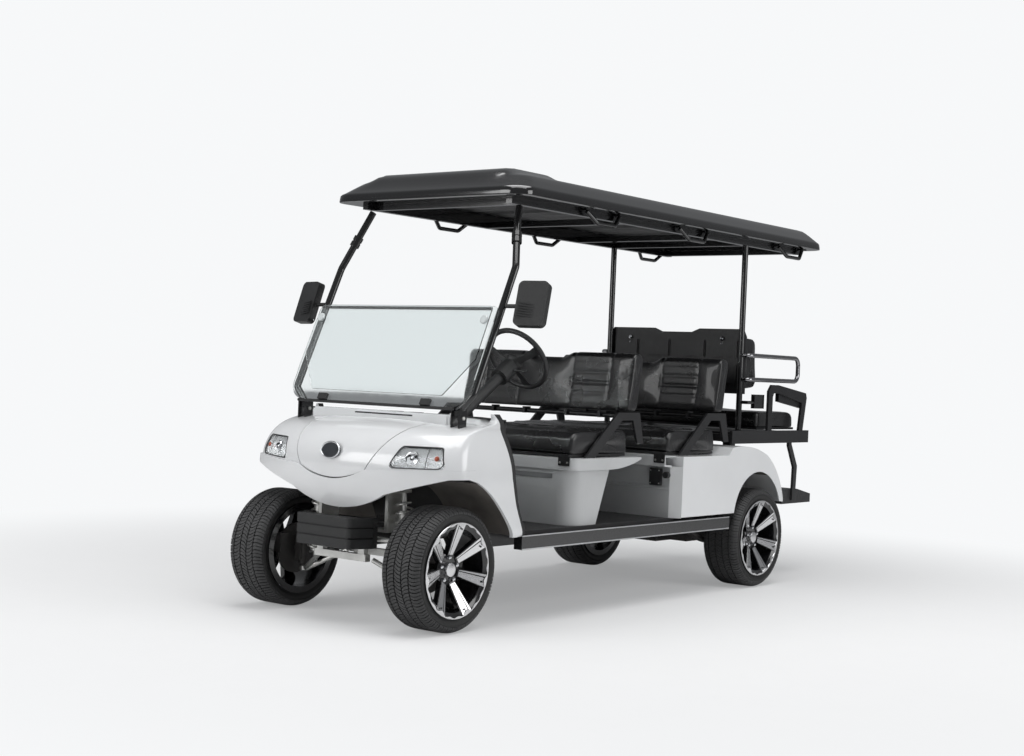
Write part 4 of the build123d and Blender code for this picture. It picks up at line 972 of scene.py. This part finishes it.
# ---------------------------------------------------------------- roof
# A twin-skin canopy, vacuum-formed and gloss black, over a frame of black tube, with a
# raised part at the front; its lining is ribbed crosswise.
roof_gloss = finish("roof_gloss", (0.006, 0.006, 0.0065), 0.12, coat=0.8, grain=30, depth=0.0001, mottle=0.1)
lining = finish("roof_lining", (0.020, 0.020, 0.021), 0.5, grain=300)
# Levels of the shell: height, half width, front, rear and corner radius.
ROOF_RINGS = [
    (1.890, 0.4265, 0.4575, 2.9785, 0.022), (1.8520, 0.4265, 0.4575, 2.9785, 0.022),
    (1.8505, 0.4300, 0.4540, 2.9820, 0.024), (1.8500, 0.5600, 0.3140, 3.1220, 0.080),
    (1.8510, 0.5645, 0.3095, 3.1265, 0.082), (1.8560, 0.5660, 0.3080, 3.1280, 0.084),
    (1.8800, 0.5635, 0.3110, 3.1245, 0.084), (1.8870, 0.5600, 0.3160, 3.1205, 0.086),
    (1.8930, 0.5530, 0.3260, 3.1150, 0.088), (1.9200, 0.5230, 0.3600, 3.0980, 0.088),
    (1.9420, 0.4960, 0.3880, 3.0830, 0.088), (1.9500, 0.4840, 0.4020, 3.0760, 0.088),
    (1.9560, 0.4640, 0.4200, 3.0600, 0.086), (1.9640, 0.4250, 0.4520, 3.0220, 0.080),
]
for k in range(20):
    shrunk = 0.020 * k
    ROOF_RINGS.append((1.968, 0.395 - shrunk, 0.482 + shrunk, 2.988 - shrunk, max(0.075 - shrunk, 0.004)))
DOME_RISE = 0.022


def ramp(share):
    """A smooth rise from 0 to 1."""
    share = min(max(share, 0.0), 1.0)
    return share * share * (3 - 2 * share)


def roof_ring(z, half, first, last, bend):
    """Points round a level of the roof, lifted where the raised front part stands."""
    ring = []
    corners = ((1, 1), (1, -1), (-1, -1), (-1, 1))
    for k, (hand, ahead) in enumerate(corners):
        middle_x = hand * (half - bend)
        middle_y = first + bend if ahead > 0 else last - bend
        for i in range(10):
            angle = radians(-90 + 90 * k + 10 * i)
            ring.append((middle_x + bend * cos(angle), middle_y + bend * sin(angle)))
        next_hand, next_ahead = corners[(k + 1) % 4]
        next_angle = radians(90 * k)
        end_x = next_hand * (half - bend) + bend * cos(next_angle)
        end_y = (first + bend if next_ahead > 0 else last - bend) + bend * sin(next_angle)
        start_x, start_y = ring[-1]
        steps = 90 if k % 2 == 0 else 26
        ring += [(start_x + (end_x - start_x) * i / steps, start_y + (end_y - start_y) * i / steps)
                 for i in range(1, steps)]
    points = []
    for x, y in ring:
        over_front = ramp((0.425 - abs(x)) / 0.060) * ramp((y - 0.365) / 0.075) * ramp((0.80 - y) / 0.07)
        points.append(tuple(car(x, y, z + (DOME_RISE * over_front if z > 1.9 else 0.0))))
    return points


roof_points = []
for ring in ROOF_RINGS:
    roof_points += roof_ring(*ring)
ring_size = len(roof_points) // len(ROOF_RINGS)
roof_faces = skin(len(ROOF_RINGS), ring_size)
last_ring = (len(ROOF_RINGS) - 1) * ring_size
roof_faces.append(tuple(range(last_ring, last_ring + ring_size)))
roof_mesh = joined("roof_shell", [(roof_points, roof_faces, 0)], 40)
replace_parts(shown("roof_shell", roof_mesh, "cart", [roof_gloss]), "roof_canopy")
LINING_ROWS, LINING_FRONT, LINING_REAR, LINING_HEIGHT = 330, 0.42, 2.99, 1.893
RIB_PITCH, RIB_DEPTH = 0.128, 0.005
lining_points = []
for k in range(LINING_ROWS + 1):
    y = LINING_FRONT + (LINING_REAR - LINING_FRONT) * k / LINING_ROWS
    rib = RIB_DEPTH * (0.5 - 0.5 * cos(2 * pi * (y - LINING_FRONT) / RIB_PITCH)) ** 3
    for x in (-0.43, -0.15, 0.15, 0.43):
        lining_points.append(tuple(car(x, y, LINING_HEIGHT - rib)))
lining_faces = skin(LINING_ROWS + 1, 4, round_ring=False)
lining_mesh = joined("roof_lining", [(lining_points, lining_faces, 0)], 80)
shown("roof_lining", lining_mesh, "cart", [lining])

# ---------------------------------------------------------------- the studio
# The cart stands on a pale floor that fades into a pale backdrop, under a large soft box
# overhead and softer panels at its side and front.
floor_mesh = bpy.data.meshes.new("studio_floor")
floor_mesh.from_pydata([(-40, -40, 0), (40, -40, 0), (40, 40, 0), (-40, 40, 0)], [], [(0, 1, 2, 3)])
floor = bpy.data.objects.new("studio_floor", floor_mesh)
bpy.context.collection.objects.link(floor)
floor_paint = finish("studio_floor", (0.86, 0.86, 0.86), 0.85, grain=2, depth=0.0, mottle=0.005)
floor.data.materials.append(floor_paint)
# The floor whitens away from the cart, so it meets the backdrop without a line; its shadow stays.
floor_nodes, floor_links = floor_paint.node_tree.nodes, floor_paint.node_tree.links
floor_place = next(n for n in floor_nodes if n.type == "TEX_COORD")
away = floor_nodes.new("ShaderNodeVectorMath")
away.operation = "LENGTH"
fade = floor_nodes.new("ShaderNodeMapRange")
fade.interpolation_type = "SMOOTHSTEP"
fade.inputs["From Min"].default_value = 1.5
fade.inputs["From Max"].default_value = 4.6
fade.inputs["To Min"].default_value = 0.30
camera_ray = floor_nodes.new("ShaderNodeLightPath")
share = floor_nodes.new("ShaderNodeMath")
share.operation = "MULTIPLY"
bright = floor_nodes.new("ShaderNodeEmission")
bright.inputs["Color"].default_value = (0.93, 0.94, 0.95, 1)
bright.inputs["Strength"].default_value = 1.0
whitened = floor_nodes.new("ShaderNodeMixShader")
floor_out = next(n for n in floor_nodes if n.type == "OUTPUT_MATERIAL")
floor_links.new(floor_place.outputs["Object"], away.inputs[0])
floor_links.new(away.outputs["Value"], fade.inputs["Value"])
floor_links.new(fade.outputs["Result"], share.inputs[0])
floor_links.new(camera_ray.outputs["Is Camera Ray"], share.inputs[1])
floor_links.new(share.outputs["Value"], whitened.inputs["Fac"])
floor_links.new(floor_nodes["Principled BSDF"].outputs["BSDF"], whitened.inputs[1])
floor_links.new(bright.outputs["Emission"], whitened.inputs[2])
floor_links.new(whitened.outputs["Shader"], floor_out.inputs["Surface"])

world = bpy.data.worlds.new("studio")
bpy.context.scene.world = world
world.use_nodes = True
world_nodes, world_links = world.node_tree.nodes, world.node_tree.links
ambient = world_nodes["Background"]
ambient.inputs["Color"].default_value = (0.90, 0.92, 0.95, 1)
ambient.inputs["Strength"].default_value = 0.24
backdrop = world_nodes.new("ShaderNodeBackground")
backdrop.inputs["Color"].default_value = (0.93, 0.94, 0.95, 1)
backdrop.inputs["Strength"].default_value = 1.0
rays = world_nodes.new("ShaderNodeLightPath")
seen = world_nodes.new("ShaderNodeMath")
seen.operation = "MAXIMUM"
blend_world = world_nodes.new("ShaderNodeMixShader")
world_out = next(n for n in world_nodes if n.type == "OUTPUT_WORLD")
world_links.new(rays.outputs["Is Camera Ray"], seen.inputs[0])
world_links.new(rays.outputs["Is Transmission Ray"], seen.inputs[1])
world_links.new(seen.outputs["Value"], blend_world.inputs["Fac"])
world_links.new(ambient.outputs["Background"], blend_world.inputs[1])
world_links.new(backdrop.outputs["Background"], blend_world.inputs[2])
world_links.new(blend_world.outputs["Shader"], world_out.inputs["Surface"])

for name, place, aim, size, power in (
    ("overhead_box", (0.6, -0.8, 5.2), (0, 0, 0.6), 4.5, 220),
    ("side_box", (5.5, 1.2, 2.6), (0, 0.2, 0.8), 3.0, 95),
    ("front_box", (-2.2, -6.5, 2.8), (0, -0.4, 0.8), 3.0, 120),
):
    lamp = bpy.data.lights.new(name, "AREA")
    lamp.energy = power
    lamp.size = size
    holder = bpy.data.objects.new(name, lamp)
    holder.location = place
    holder.rotation_euler = (Vector(aim) - Vector(place)).to_track_quat("-Z", "Y").to_euler()
    bpy.context.collection.objects.link(holder)

CAMERA_PLACE = (4.638, -6.400, 1.086)
CAMERA_YAW, CAMERA_PITCH, CAMERA_ROLL = radians(38.157), radians(-0.213), radians(2.392)
camera = bpy.data.objects.new("camera", bpy.data.cameras.new("camera"))
camera.data.lens = 54.43
camera.matrix_world = (
    Matrix.Translation(CAMERA_PLACE)
    @ Matrix.Rotation(CAMERA_YAW, 4, "Z")
    @ Matrix.Rotation(pi / 2 + CAMERA_PITCH, 4, "X")
    @ Matrix.Rotation(CAMERA_ROLL, 4, "Z")
)
bpy.context.collection.objects.link(camera)
bpy.context.scene.camera = camera
bpy.context.scene.view_settings.view_transform = "Standard"
